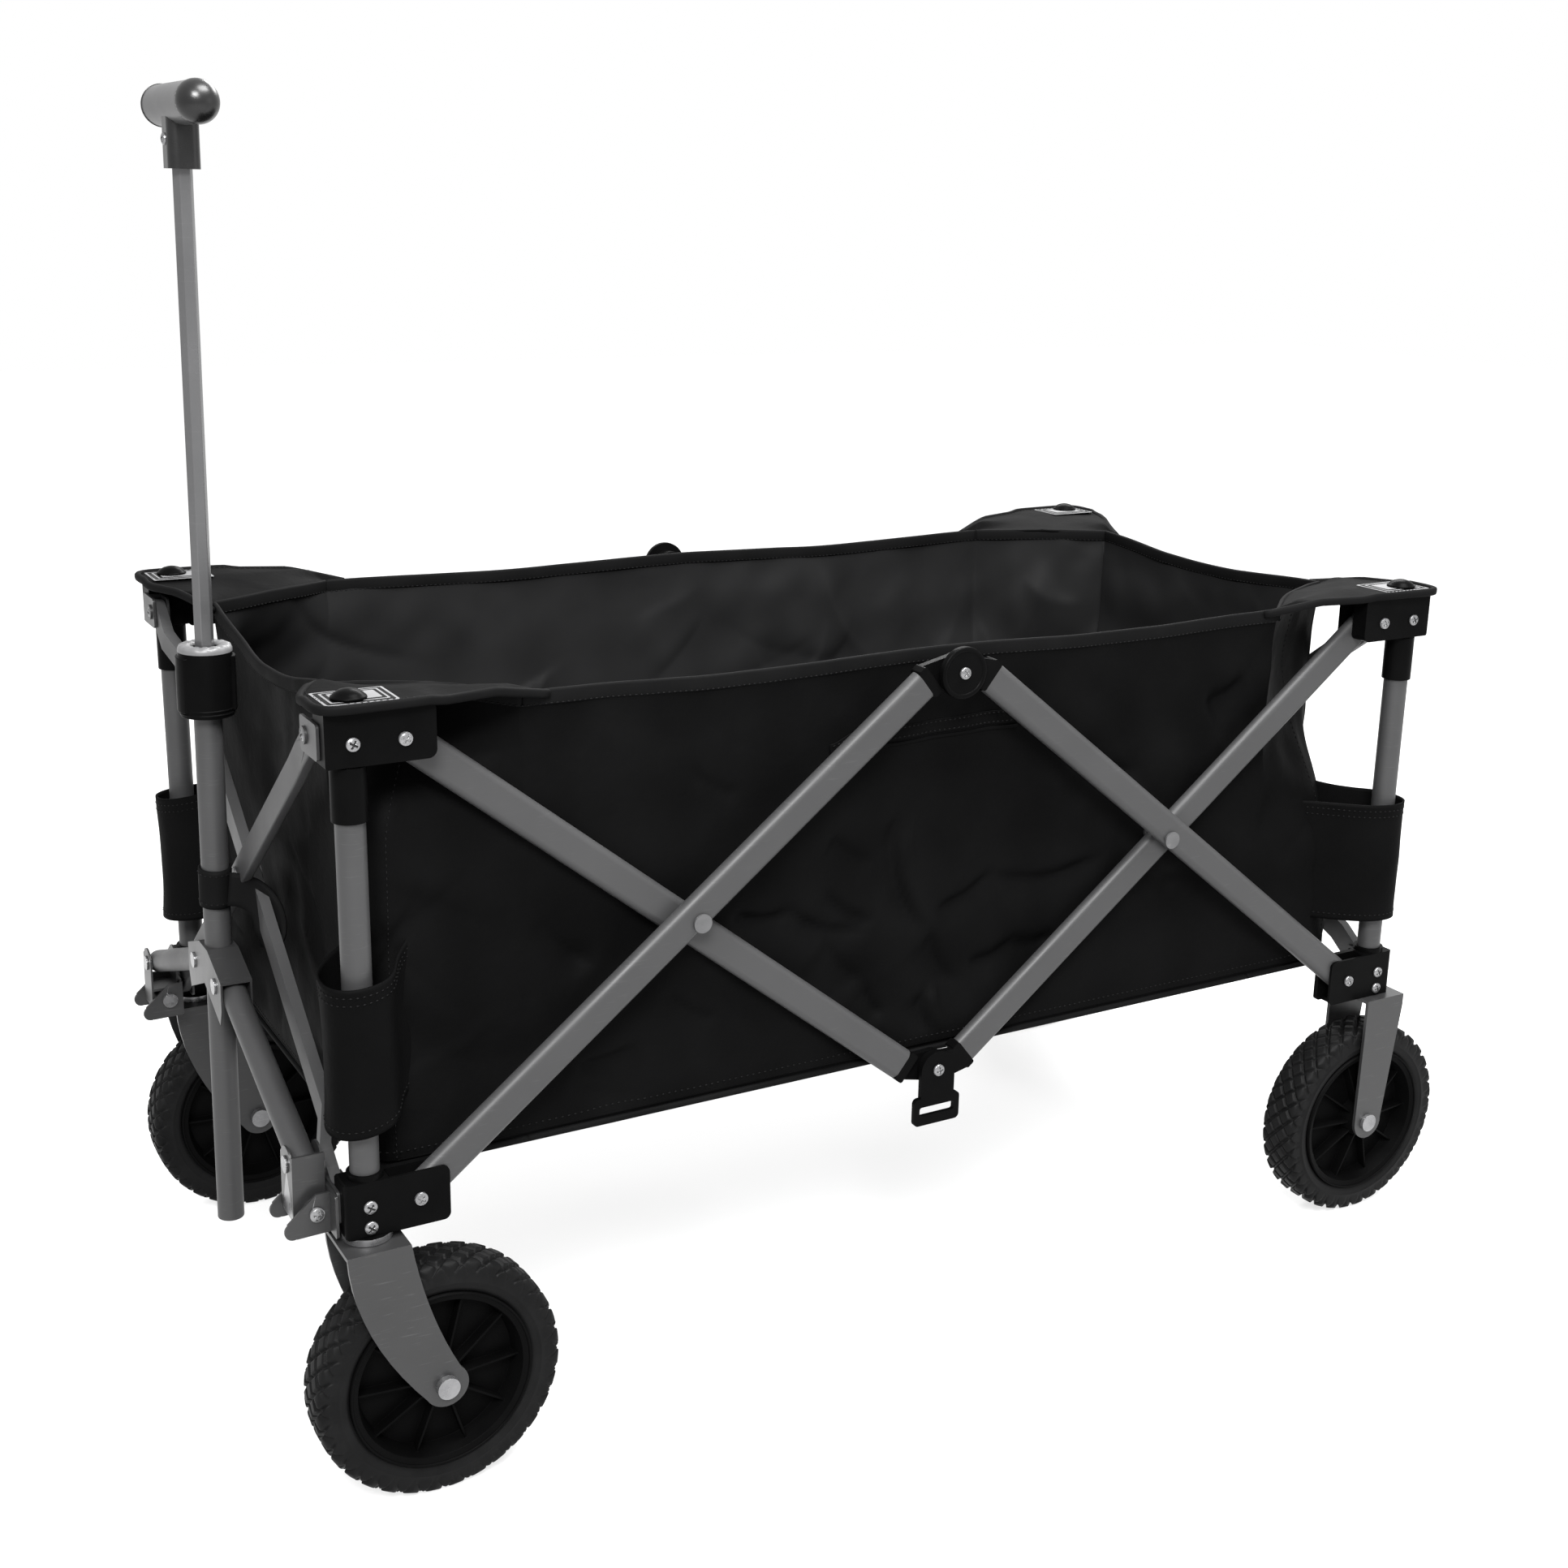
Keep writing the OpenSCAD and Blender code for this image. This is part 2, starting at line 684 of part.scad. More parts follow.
module bag() {
    translate([shift_x, 0, 0]) color(cloth) difference() {
        translate([0, 0, bag_bottom]) linear_extrude(bag_top - bag_bottom) bag_plan(0);
        translate([0, 0, bag_bottom + bag_wall]) linear_extrude(bag_top - bag_bottom)
            bag_plan(bag_wall);
    }
}

// Stiff board that lies in the bag
module base_board() {
    translate([shift_x, 0, bag_bottom + bag_wall]) color(plastic)
        linear_extrude(5) bag_plan(bag_wall + 4);
}

// ---------- nodes ----------

for (c = CORNERS) {
    lower_bracket(c[1], c[2]);
    post(c[1], c[2]);
    inner_post(c[1], c[2]);
    upper_bracket(c[1], c[2]);
    side_bar_outer(c[1], c[2]);
    side_bar_inner(c[1], c[2]);
    fork(c[1], c[2]);
    wheel_hub(c[1], c[2]);
    tyre(c[1], c[2]);
}
for (s = SIDES) {
    top_hinge(s[1]);
    strap_buckle(s[1]);
    hinge_plate(s[1]);
    yoke(s[1]);
    cross_tube(s[1]);
}
for (e = ENDS) {
    end_bar(e[1], end_outer, -1, false);
    end_bar(e[1], end_inner, 1, true);
}
handle_bracket();
handle_tube();
lock_collar();
handle_rod();
t_socket();
grip();
grip_caps();
handle_strap();
bag();
base_board();
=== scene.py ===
"""Visual model of a folding pull wagon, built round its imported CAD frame.

Shapes are written in millimetres from the wagon's middle: x runs from the handle end to the
rear, y from the left side to the right, z up from the floor. place() turns them into the frame.
"""
import math

import bpy
import numpy as np
from mathutils import Matrix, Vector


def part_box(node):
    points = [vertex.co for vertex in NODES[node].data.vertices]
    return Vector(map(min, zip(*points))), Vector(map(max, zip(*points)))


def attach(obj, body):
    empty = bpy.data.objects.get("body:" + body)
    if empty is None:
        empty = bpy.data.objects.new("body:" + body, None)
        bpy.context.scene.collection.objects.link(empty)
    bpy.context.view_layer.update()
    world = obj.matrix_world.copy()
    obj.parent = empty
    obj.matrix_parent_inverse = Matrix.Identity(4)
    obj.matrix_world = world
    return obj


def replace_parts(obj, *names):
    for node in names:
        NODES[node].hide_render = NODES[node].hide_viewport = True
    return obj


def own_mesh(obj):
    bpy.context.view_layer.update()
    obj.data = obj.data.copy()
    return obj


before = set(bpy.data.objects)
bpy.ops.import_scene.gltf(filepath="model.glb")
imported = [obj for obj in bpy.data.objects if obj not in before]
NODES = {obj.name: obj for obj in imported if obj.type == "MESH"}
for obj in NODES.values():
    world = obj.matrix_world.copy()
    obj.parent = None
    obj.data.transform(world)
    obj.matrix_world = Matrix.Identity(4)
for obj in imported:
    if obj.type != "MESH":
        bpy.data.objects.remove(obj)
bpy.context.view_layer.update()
MM = 0.001
SHIFT = (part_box("post_fl")[0].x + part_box("post_rl")[1].x) / 2
CORNERS = {"fl": (-1, -1), "fr": (-1, 1), "rl": (1, -1), "rr": (1, 1)}
SIDES = {"l": -1, "r": 1}


def level(node, corner, axis):
    """A node's lowest (0) or highest (1) coordinate, in millimetres from the middle."""
    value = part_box(node)[corner][axis]
    return (value - (SHIFT if axis == 0 else 0)) / MM


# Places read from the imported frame
POST_X = (level("inner_post_rl", 0, 0) + level("inner_post_rl", 1, 0)) / 2
POST_Y = (level("inner_post_rr", 0, 1) + level("inner_post_rr", 1, 1)) / 2
BRACKET_Z = level("upper_bracket_fl", 1, 2)
BAG_X = level("bag", 1, 0)
BAG_Y = level("bag", 1, 1)
BAG_LOW = level("bag", 0, 2)
BAG_TOP = level("bag", 1, 2)
CHAMFER_X, CHAMFER_Y = 335, 150


# ---------- materials ----------

def material(name, colour, rough, metal=0.0, grain=700, bump=0.03, mottle=0.12, patch=14,
             weave=0.0, pitch=0.9, coat=0.0, scratch=0.0, gloss=0.5, glow=0.0):
    """A procedural surface. grain and patch are noise scales per metre; bump is in mm."""
    m = bpy.data.materials.new(name)
    m.use_nodes = True
    nodes, links = m.node_tree.nodes, m.node_tree.links
    shader = nodes["Principled BSDF"]
    shader.inputs["Metallic"].default_value = metal
    shader.inputs["Coat Weight"].default_value = coat
    shader.inputs["Specular IOR Level"].default_value = gloss
    shader.inputs["Emission Color"].default_value = (1, 1, 1, 1)
    shader.inputs["Emission Strength"].default_value = glow
    shader.inputs["Coat Roughness"].default_value = 0.22
    coords = nodes.new("ShaderNodeTexCoord").outputs["Object"]

    def noise(scale, detail, rough_=0.55):
        n = nodes.new("ShaderNodeTexNoise")
        n.inputs["Scale"].default_value = scale
        n.inputs["Detail"].default_value = detail
        n.inputs["Roughness"].default_value = rough_
        links.new(coords, n.inputs["Vector"])
        return n.outputs["Fac"]

    def spread(value, low, high, start=0.3, end=0.7):
        r = nodes.new("ShaderNodeMapRange")
        r.inputs["From Min"].default_value = start
        r.inputs["From Max"].default_value = end
        r.inputs["To Min"].default_value = low
        r.inputs["To Max"].default_value = high
        links.new(value, r.inputs["Value"])
        return r.outputs["Result"]

    def mix(kind, a, b, factor):
        n = nodes.new("ShaderNodeMix")
        n.data_type = "RGBA"
        n.blend_type = kind
        n.inputs["Factor"].default_value = 1.0
        if isinstance(factor, float):
            n.inputs["Factor"].default_value = factor
        else:
            links.new(factor, n.inputs["Factor"])
        for value, socket in ((a, n.inputs["A"]), (b, n.inputs["B"])):
            if isinstance(value, tuple):
                socket.default_value = (*value, 1)
            else:
                links.new(value, socket)
        return n.outputs["Result"]

    broad = noise(patch, 4)
    dark = tuple(c * (1 - mottle) for c in colour)
    light = tuple(min(1, c * (1 + mottle)) for c in colour)
    base = mix("MIX", dark, light, spread(broad, 0, 1))
    fine = noise(grain, 2)
    height = fine
    uneven = 0.07
    roughness = spread(broad, rough - uneven, rough + uneven)
    if weave:
        threads = []
        for axis in "XYZ":
            w = nodes.new("ShaderNodeTexWave")
            w.bands_direction = axis
            w.inputs["Scale"].default_value = 3.1416 / pitch
            links.new(coords, w.inputs["Vector"])
            threads.append(w.outputs["Fac"])
        total = threads[0]
        for t in threads[1:]:
            add = nodes.new("ShaderNodeMath")
            add.operation = "ADD"
            links.new(total, add.inputs[0])
            links.new(t, add.inputs[1])
            total = add.outputs["Value"]
        both = nodes.new("ShaderNodeMath")
        both.operation = "MULTIPLY_ADD"
        both.inputs[1].default_value = weave
        links.new(total, both.inputs[0])
        links.new(fine, both.inputs[2])
        height = both.outputs["Value"]
        base = mix("MULTIPLY", base, spread(total, 0.8, 1.0, 0.6, 2.0), 1.0)
    if scratch:
        streaks = nodes.new("ShaderNodeTexNoise")
        stretch = nodes.new("ShaderNodeMapping")
        stretch.inputs["Scale"].default_value = (60, 60, 900)
        links.new(coords, stretch.inputs["Vector"])
        links.new(stretch.outputs["Vector"], streaks.inputs["Vector"])
        streaks.inputs["Scale"].default_value = 1.0
        streaks.inputs["Detail"].default_value = 4
        worn = spread(streaks.outputs["Fac"], 0, scratch, 0.62, 0.72)
        base = mix("MIX", base, tuple(min(1, c * 1.9 + 0.03) for c in colour), worn)
    links.new(base, shader.inputs["Base Color"])
    links.new(roughness, shader.inputs["Roughness"])
    relief = nodes.new("ShaderNodeBump")
    relief.inputs["Strength"].default_value = 1.0
    relief.inputs["Distance"].default_value = bump * MM
    links.new(height, relief.inputs["Height"])
    links.new(relief.outputs["Normal"], shader.inputs["Normal"])
    return m


def grey(value):
    return (value, value, value * 1.02)


STEEL = material("grey_powder_coat", grey(0.03), 0.48, metal=0.1, grain=1500, bump=0.012,
                 mottle=0.07, scratch=0.15, gloss=0.3)
STEEL_WORN = material("grey_hinge_steel", grey(0.02), 0.4, metal=0.25, grain=900, bump=0.02,
                      mottle=0.12, coat=0.05, scratch=0.3, gloss=0.4)
GRIP = material("grip_grey", grey(0.038), 0.42, metal=0.1, grain=1500, bump=0.012, mottle=0.06,
                coat=0.1)
ROD_METAL = material("rod_anodised", grey(0.095), 0.24, metal=0.6, grain=1800, bump=0.008,
                     mottle=0.05, scratch=0.1)
ZINC = material("bright_zinc", grey(0.2), 0.28, metal=0.85, grain=600, bump=0.02, mottle=0.15,
                patch=90, scratch=0.3)
RIVET = material("dull_rivet", grey(0.09), 0.4, metal=0.6, grain=600, bump=0.02, mottle=0.15,
                 patch=90, scratch=0.3)
# Painted shade: a near-black colour for the screws' cross recesses, standing in for the shade inside
# them
PAINTED_RECESS_SHADE = material("screw_recess_painted_shade", grey(0.012), 0.6, grain=900, mottle=0.2, patch=90, gloss=0.2)
PLASTIC = material("black_nylon", grey(0.0016), 0.34, grain=1300, bump=0.03, mottle=0.2,
                   patch=30, gloss=0.02)
SOCKET = material("socket_nylon", grey(0.005), 0.3, grain=1300, bump=0.03, mottle=0.2,
                  patch=30, gloss=0.35)
HUB = material("hub_black", grey(0.0014), 0.5, grain=1100, bump=0.03, mottle=0.2, patch=25,
               gloss=0.02)
RUBBER = material("tyre_rubber", grey(0.0042), 0.5, grain=900, bump=0.05, mottle=0.25,
                  patch=40, gloss=0.05)
CLOTH = material("bag_polyester", grey(0.0024), 0.55, grain=120, bump=0.35, mottle=0.2,
                 patch=11, weave=0.04, pitch=0.8, gloss=0.012)
LINING = material("bag_coated_inside", grey(0.0085), 0.5, grain=500, bump=0.03, mottle=0.14,
                  patch=9, weave=0.4, pitch=0.8, gloss=0.06)
TAPE = material("binding_tape", grey(0.004), 0.6, grain=600, bump=0.05, mottle=0.14,
                patch=20, weave=0.8, pitch=1.3, gloss=0.02)
THREAD = material("sewing_thread", grey(0.0045), 0.6, grain=2000, bump=0.03, mottle=0.2,
                  patch=60, gloss=0.08)
PATCH = material("silver_patch", grey(0.14), 0.5, grain=900, bump=0.03, mottle=0.08,
                 weave=0.5, pitch=0.8, gloss=0.3)
RING = material("collar_ring_grey", grey(0.08), 0.4, grain=900, bump=0.02, mottle=0.1)
BOARD = material("board_cover", grey(0.0045), 0.7, grain=500, bump=0.04, mottle=0.15,
                 weave=0.6, pitch=0.9, gloss=0.12)


# ---------- mesh helpers ----------

def place(points):
    """Millimetres from the wagon's middle, as the frame's metres."""
    return np.asarray(points, float).reshape(-1, 3) * MM + (SHIFT, 0, 0)


def unit(v):
    return v / np.maximum(np.linalg.norm(v, axis=-1, keepdims=True), 1e-12)


def step(a, b, t):
    t = np.clip((t - a) / (b - a), 0, 1)
    return t * t * (3 - 2 * t)


class Piece:
    """Collects surfaces with their materials, and becomes one object."""

    def __init__(self):
        self.points, self.faces, self.kinds, self.flat = [], [], [], []
        self.materials, self.count, self.normals = [], 0, []

    def add(self, points, faces, kind, flat=False, normals=None):
        points = np.asarray(points, float).reshape(-1, 3)
        if normals is not None:
            self.normals.append((self.count, np.asarray(normals, float).reshape(-1, 3)))
        if kind not in self.materials:
            self.materials.append(kind)
        self.points.append(points)
        self.faces += [tuple(int(i) + self.count for i in f) for f in faces]
        self.kinds += [self.materials.index(kind)] * len(faces)
        self.flat += [flat] * len(faces)
        self.count += len(points)
        return self

    def object(self, name, mirror=False):
        mesh = bpy.data.meshes.new(name)
        faces = [f[::-1] for f in self.faces] if mirror else self.faces
        mesh.from_pydata(place(np.concatenate(self.points)).tolist(), [], faces)
        for m in self.materials:
            mesh.materials.append(m)
        mesh.polygons.foreach_set("material_index", self.kinds)
        mesh.polygons.foreach_set("use_smooth", [not f for f in self.flat])
        mesh.update()
        if self.normals:
            own = np.array([v.normal for v in mesh.vertices])
            for first, n in self.normals:
                own[first:first + len(n)] = n
            mesh.normals_split_custom_set_from_vertices(own.tolist())
        o = bpy.data.objects.new(name, mesh)
        bpy.context.scene.collection.objects.link(o)
        return o


def grid_faces(rows, columns, close=False):
    last = rows if close else rows - 1
    return [(i * columns + j, (i + 1) % rows * columns + j,
             (i + 1) % rows * columns + j + 1, i * columns + j + 1)
            for i in range(last) for j in range(columns - 1)]


def normals_of(grid, close=False):
    """Unit normals of a grid of points, by central differences."""
    if close:
        along = np.roll(grid, -1, 0) - np.roll(grid, 1, 0)
    else:
        along = np.gradient(grid, axis=0)
    across = np.gradient(grid, axis=1)
    return unit(np.cross(along, across))


def shell(grid, thick, normals=None):
    """A closed thin body round a grid of points: (points, faces)."""
    rows, columns = grid.shape[:2]
    n = normals_of(grid) if normals is None else normals
    top, bottom = grid + n * thick / 2, grid - n * thick / 2
    size = rows * columns
    faces = grid_faces(rows, columns)
    faces = faces + [tuple(i + size for i in f[::-1]) for f in faces]
    rim = ([(i, 0) for i in range(rows)] + [(rows - 1, j) for j in range(1, columns)]
           + [(i, columns - 1) for i in range(rows - 2, -1, -1)]
           + [(0, j) for j in range(columns - 2, 0, -1)])
    loop = [i * columns + j for i, j in rim]
    for a, b in zip(loop, loop[1:] + loop[:1]):
        faces.append((b, a, a + size, b + size))
    return np.concatenate([top.reshape(-1, 3), bottom.reshape(-1, 3)]), faces


def sweep(path, section):
    """Sweeps a closed section (side, up) along a path, with flat ends."""
    path = np.asarray(path, float)
    tangent = unit(np.gradient(path, axis=0))
    side = unit(np.cross(tangent, (0.0, 0.0, 1.0)))
    top = np.cross(side, tangent)
    section = np.asarray(section, float)
    grid = (path[:, None] + side[:, None] * section[None, :, :1]
            + top[:, None] * section[None, :, 1:])
    rows, columns = grid.shape[:2]
    faces = [(i * columns + j, i * columns + (j + 1) % columns,
              (i + 1) * columns + (j + 1) % columns, (i + 1) * columns + j)
             for i in range(rows - 1) for j in range(columns)]
    faces.append(tuple(range(columns))[::-1])
    faces.append(tuple((rows - 1) * columns + j for j in range(columns)))
    return grid.reshape(-1, 3), faces


def rounded_section(width, height, radius, n=3):
    """Corner-rounded rectangle, as (side, up) points."""
    points = []
    for cx, cy, start in ((1, 1, 0), (-1, 1, 90), (-1, -1, 180), (1, -1, 270)):
        for k in range(n + 1):
            a = math.radians(start + 90 * k / n)
            points.append((cx * (width / 2 - radius) + radius * math.cos(a),
                           cy * (height / 2 - radius) + radius * math.sin(a)))
    return points


def turned(profile, n=40, axis="z", at=(0, 0, 0), ripple=None):
    """Revolves (radius, height) points about an axis; a radius of 0 closes an end."""
    angles = np.arange(n) * 2 * math.pi / n
    profile = np.asarray(profile, float)
    radius = np.repeat(profile[None, :, 0], n, 0)
    height = np.repeat(profile[None, :, 1], n, 0)
    if ripple is not None:
        radius, height = ripple(angles[:, None], radius, height)
    a, b = radius * np.cos(angles)[:, None], radius * np.sin(angles)[:, None]
    order = {"z": (a, b, height), "y": (b, height, a), "x": (height, a, b)}[axis]
    return np.stack(order, -1).reshape(-1, 3) + np.asarray(at), grid_faces(
        n, len(profile), close=True)


def resample(path, spacing):
    path = np.asarray(path, float)
    along = np.concatenate([[0], np.cumsum(np.linalg.norm(np.diff(path, axis=0), axis=1))])
    count = max(2, int(round(along[-1] / spacing)) + 1)
    at = np.linspace(0, along[-1], count)
    return np.stack([np.interp(at, along, path[:, k]) for k in range(3)], 1)


def stitches(piece, path, normal, pitch=4.2, long=2.9, thick=0.55):
    """A row of raised stitches along a path that lies on a surface."""
    at = resample(path, pitch)
    if len(at) < 3:
        return
    out = np.broadcast_to(unit(np.asarray(normal, float)), at.shape) if np.ndim(
        normal) == 1 else np.stack([np.interp(
            np.linspace(0, 1, len(at)), np.linspace(0, 1, len(normal)),
            np.asarray(normal)[:, k]) for k in range(3)], 1)
    tangent = unit(np.gradient(at, axis=0))
    side = unit(np.cross(tangent, out))
    points, faces = [], []
    for p, t, s, n in zip(at, tangent, side, out):
        base = len(points)
        points += [p - t * long / 2, p + t * long / 2, p + s * thick, p - s * thick,
                   p + n * thick * 0.9 + t * long * 0.2, p + n * thick * 0.9 - t * long * 0.2,
                   p - n * thick * 0.4]
        faces += [tuple(base + i for i in f) for f in (
            (1, 4, 2), (4, 5, 2), (5, 0, 2), (1, 3, 4), (4, 3, 5), (5, 3, 0),
            (1, 2, 6), (2, 0, 6), (0, 3, 6), (3, 1, 6))]
    piece.add(points, faces, THREAD)


def mirrored(points, e, s):
    """Points drawn for the rear right corner, moved to another corner."""
    return np.asarray(points, float).reshape(-1, 3) * (e, s, 1)


# ---------- CAD nodes: bevelled edges, and a material for each face ----------

def finish_node(name, kinds, choose=None, bevel=0.5):
    """Gives a CAD node its materials. choose(x, y, z) takes the faces' middles, as distances
    from the wagon's middle planes, and gives each face's place in kinds."""
    o = NODES[name]
    o.data.materials.clear()
    for kind in kinds:
        o.data.materials.append(kind)
    n = len(o.data.polygons)
    middle = np.zeros(n * 3)
    o.data.polygons.foreach_get("center", middle)
    middle = np.abs((middle.reshape(-1, 3) - (SHIFT, 0, 0)) / MM)
    picked = np.zeros(n, int) if choose is None else np.asarray(choose(*middle.T), int)
    o.data.polygons.foreach_set("material_index", picked)
    o.data.polygons.foreach_set("use_smooth", [True] * n)
    weld = o.modifiers.new("weld", "WELD")
    weld.merge_threshold = 2e-6
    if bevel:
        b = o.modifiers.new("edges", "BEVEL")
        b.width = bevel * MM
        b.segments = 2
        b.limit_method = "ANGLE"
        b.angle_limit = math.radians(38)
        b.miter_outer = "MITER_ARC"
    w = o.modifiers.new("normals", "WEIGHTED_NORMAL")
    w.weight = 50
    w.keep_sharp = False


PIVOT_X, LOW_Z, HIGH_Z = 426, 228, 549
FACE_Y = level("upper_bracket_rr", 1, 1) - 2
LEAN = math.radians(0.8)
HINGE = np.array([-491.0, 0, 222.0])


def on_bracket(x, y, z):
    """Plastic body 0, grey clip 1, screws and caster pin 2."""
    clip = (x > 478.01) | ((x > 466.9) & (y < 225.99))
    metal = (y > FACE_Y + 0.05) | (z < 207.9) | (np.hypot(y - 213, z - LOW_Z) < 6.1)
    return np.where(metal, 2, np.where(clip, 1, 0))


def on_post(x, y, z):
    r = np.hypot(x - POST_X, y - POST_Y)
    return (z > 495.9) & (r > 10.004)


def on_bar(corner_z, hinge_z):
    """Steel tube 0, black knuckle 1 near the middle hinge, crossing rivet 2."""
    reach = np.array([-PIVOT_X, hinge_z - corner_z], float)
    length = np.linalg.norm(reach)
    tilt = math.asin(12.5 / length) * (-1 if hinge_z > corner_z else 1)
    along = reach / length
    along = np.array([along[0] * math.cos(tilt) - along[1] * math.sin(tilt),
                      along[0] * math.sin(tilt) + along[1] * math.cos(tilt)])

    def choose(x, y, z):
        d = (x - PIVOT_X) * along[0] + (z - corner_z) * along[1]
        rivet = np.hypot(x - PIVOT_X / 2, z - (LOW_Z + HIGH_Z) / 2) < 8
        beyond = rivet & ((y > 233.3) | (y < 221.9))
        return np.where(beyond & (hinge_z < corner_z), 2, d > length * math.cos(tilt) - 28.02)
    return choose


def on_fork(axle_x, wheel_y, half):
    """Steel 0, axle bolt and its heads 1."""
    def choose(x, y, z):
        r = np.hypot(x - axle_x, z - 89)
        return (r < 5.05) | ((np.abs(y - wheel_y) > half + 0.01) & (r < 8.3))
    return choose


for c in CORNERS:
    for tier in ("lower", "upper"):
        finish_node(f"{tier}_bracket_{c}", [PLASTIC, STEEL_WORN, ZINC], on_bracket, 0.8)
    finish_node(f"post_{c}", [STEEL, PLASTIC], on_post)
    finish_node(f"inner_post_{c}", [STEEL])
    finish_node(f"side_bar_outer_{c}", [STEEL, PLASTIC, RIVET], on_bar(LOW_Z, HIGH_Z))
    finish_node(f"side_bar_inner_{c}", [STEEL, PLASTIC, RIVET], on_bar(HIGH_Z, LOW_Z))
    finish_node(f"fork_{c}", [STEEL_WORN, ZINC], on_fork(416.5, 236, 26) if c[0] == "f" else
                on_fork(457.5, 234, 24), 1.3)
    finish_node(f"wheel_hub_{c}", [HUB], None, 0.4)
for s in SIDES:
    finish_node(f"top_hinge_{s}", [PLASTIC, ZINC], lambda x, y, z: (y > 250.35) | (y < 240), 1.2)
    finish_node(f"strap_buckle_{s}", [PLASTIC, ZINC],
                lambda x, y, z: (y > 237.65) | (y < 233.5), 0.8)
    finish_node(f"hinge_plate_{s}", [STEEL_WORN, ZINC],
                lambda x, y, z: np.hypot(x - 491, z - 222) < 7, 0.4)
    finish_node(f"yoke_{s}", [STEEL_WORN, ZINC], lambda x, y, z:
                x > 505.0 + (z - 252) * 0.014, 0.4)
    finish_node(f"cross_tube_{s}", [STEEL])
for name in ("front_bar_inner", "front_bar_outer", "rear_bar_inner", "rear_bar_outer"):
    finish_node(name, [STEEL, RIVET], lambda x, y, z: np.hypot(y, z - 388.5) < 7.1, 1.6)
finish_node("handle_bracket", [STEEL_WORN, ZINC], lambda x, y, z:
            (np.hypot(np.abs(y) - 30, z - 316) < 6.5) & (x > 504.0), 0.5)
for name, kind, bevel in (("handle_tube", STEEL, 0.8), ("lock_collar", PLASTIC, 1.6),
                          ("handle_rod", ROD_METAL, 0.6), ("t_socket", SOCKET, 1.0),
                          ("grip", GRIP, 2.0), ("grip_caps", SOCKET, 0)):
    finish_node(name, [kind], None, bevel)


# ---------- screws, caps and small plastic parts ----------

def screw_head(r, rise):
    """A pan head with a cross recess, facing +z: points, faces, and which faces are cut."""
    n, rings = 56, [0.0, 0.08, 0.16, 0.24, 0.32, 0.4, 0.48, 0.56, 0.66, 0.8, 0.92, 1.0]
    angles = np.arange(n) * 2 * math.pi / n
    grid = np.zeros((n, len(rings) + 1, 3))
    deep = np.zeros((n, len(rings) + 1))
    for j, q in enumerate(rings):
        a, b = q * r * np.cos(angles), q * r * np.sin(angles)
        top = rise * (0.5 + 0.5 * (1 - q ** 2.4))
        cut = (np.minimum(np.abs(a), np.abs(b)) < r * 0.13) & (q < 0.6)
        deep[:, j] = cut
        grid[:, j] = np.stack([a, b, top - 1.3 * cut], 1)
    grid[:, -1] = np.stack([r * np.cos(angles), r * np.sin(angles), np.zeros(n)], 1)
    faces = grid_faces(n, len(rings) + 1, close=True)
    deep = deep.reshape(-1)
    return grid.reshape(-1, 3), faces, [sum(deep[i] for i in f) > 1.5 for f in faces]


def screw(piece, at, direction, r=4.6, rise=2.9, spin=0.3):
    points, faces, cut = screw_head(r, rise)
    z = np.asarray(direction, float)
    x = unit(np.cross((0.13, 0.2, 0.97), z))
    y = np.cross(z, x)
    a, b = math.cos(spin), math.sin(spin)
    turn = np.stack([a * x + b * y, -b * x + a * y, z])
    points = points @ turn + np.asarray(at, float)
    piece.add(points, [f for f, c in zip(faces, cut) if not c], ZINC)
    # the cross recess faces take the painted shade colour instead of zinc
    piece.add(points, [f for f, c in zip(faces, cut) if c], PAINTED_RECESS_SHADE)


for k, (c, (e, s)) in enumerate(CORNERS.items()):
    upper, lower = Piece(), Piece()
    for x, z, part in ((POST_X, HIGH_Z, upper), (426, HIGH_Z, upper), (426, LOW_Z, lower),
                       (POST_X + 1, LOW_Z + 2, lower), (POST_X + 1, LOW_Z - 13, lower)):
        screw(part, (e * x, s * FACE_Y, z), (0, s, 0), spin=0.4 + 1.3 * k + z * 0.01)
    clip = level("upper_bracket_rr", 1, 0) - 1.7
    screw(upper, (e * clip, s * 213, HIGH_Z), (e, 0, 0), r=4.6, rise=2.6, spin=0.2 + k)
    if e > 0:
        screw(lower, (e * clip, s * 231, LOW_Z + 4), (e, 0, 0), r=3.8, rise=2.0, spin=k)
    else:
        bolt_y = level("hinge_plate_r", 1, 1) - 13.4
        screw(lower, (HINGE[0], s * bolt_y, HINGE[2]), (0, s, 0), r=5.1, rise=3.2, spin=k)
    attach(upper.object(f"upper_screws_{c}"), f"upper_{c}")
    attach(lower.object(f"lower_screws_{c}"), f"corner_{c}")

for name, s in SIDES.items():
    pin = Piece()
    screw(pin, (0, s * (level("top_hinge_r", 1, 1) - 2), HIGH_Z), (0, s, 0), r=4.5, spin=0.9)
    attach(pin.object(f"hinge_screw_{name}"), f"hinge_disc_{name}")
    pin = Piece()
    screw(pin, (0, s * (level("strap_buckle_r", 1, 1) - 1.8), LOW_Z), (0, s, 0), r=4.7)
    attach(pin.object(f"buckle_screw_{name}"), f"buckle_{name}")
    # Raised ring round the hinge disc's edge
    disc = Piece()
    edge = level("top_hinge_r", 1, 1) - 2
    points, faces = turned([(19.4, -3.9), (19.6, -0.6), (19.2, 0.5), (17.6, 0.9), (16.2, 0.6),
                            (15.6, -0.4)], 72, "y", (0, 0, 0))
    disc.add((points * (1, s, 1)) + (0, s * edge, HIGH_Z), faces, PLASTIC)
    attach(disc.object(f"hinge_ring_{name}", mirror=s < 0), f"hinge_disc_{name}")


# ---------- tyres ----------

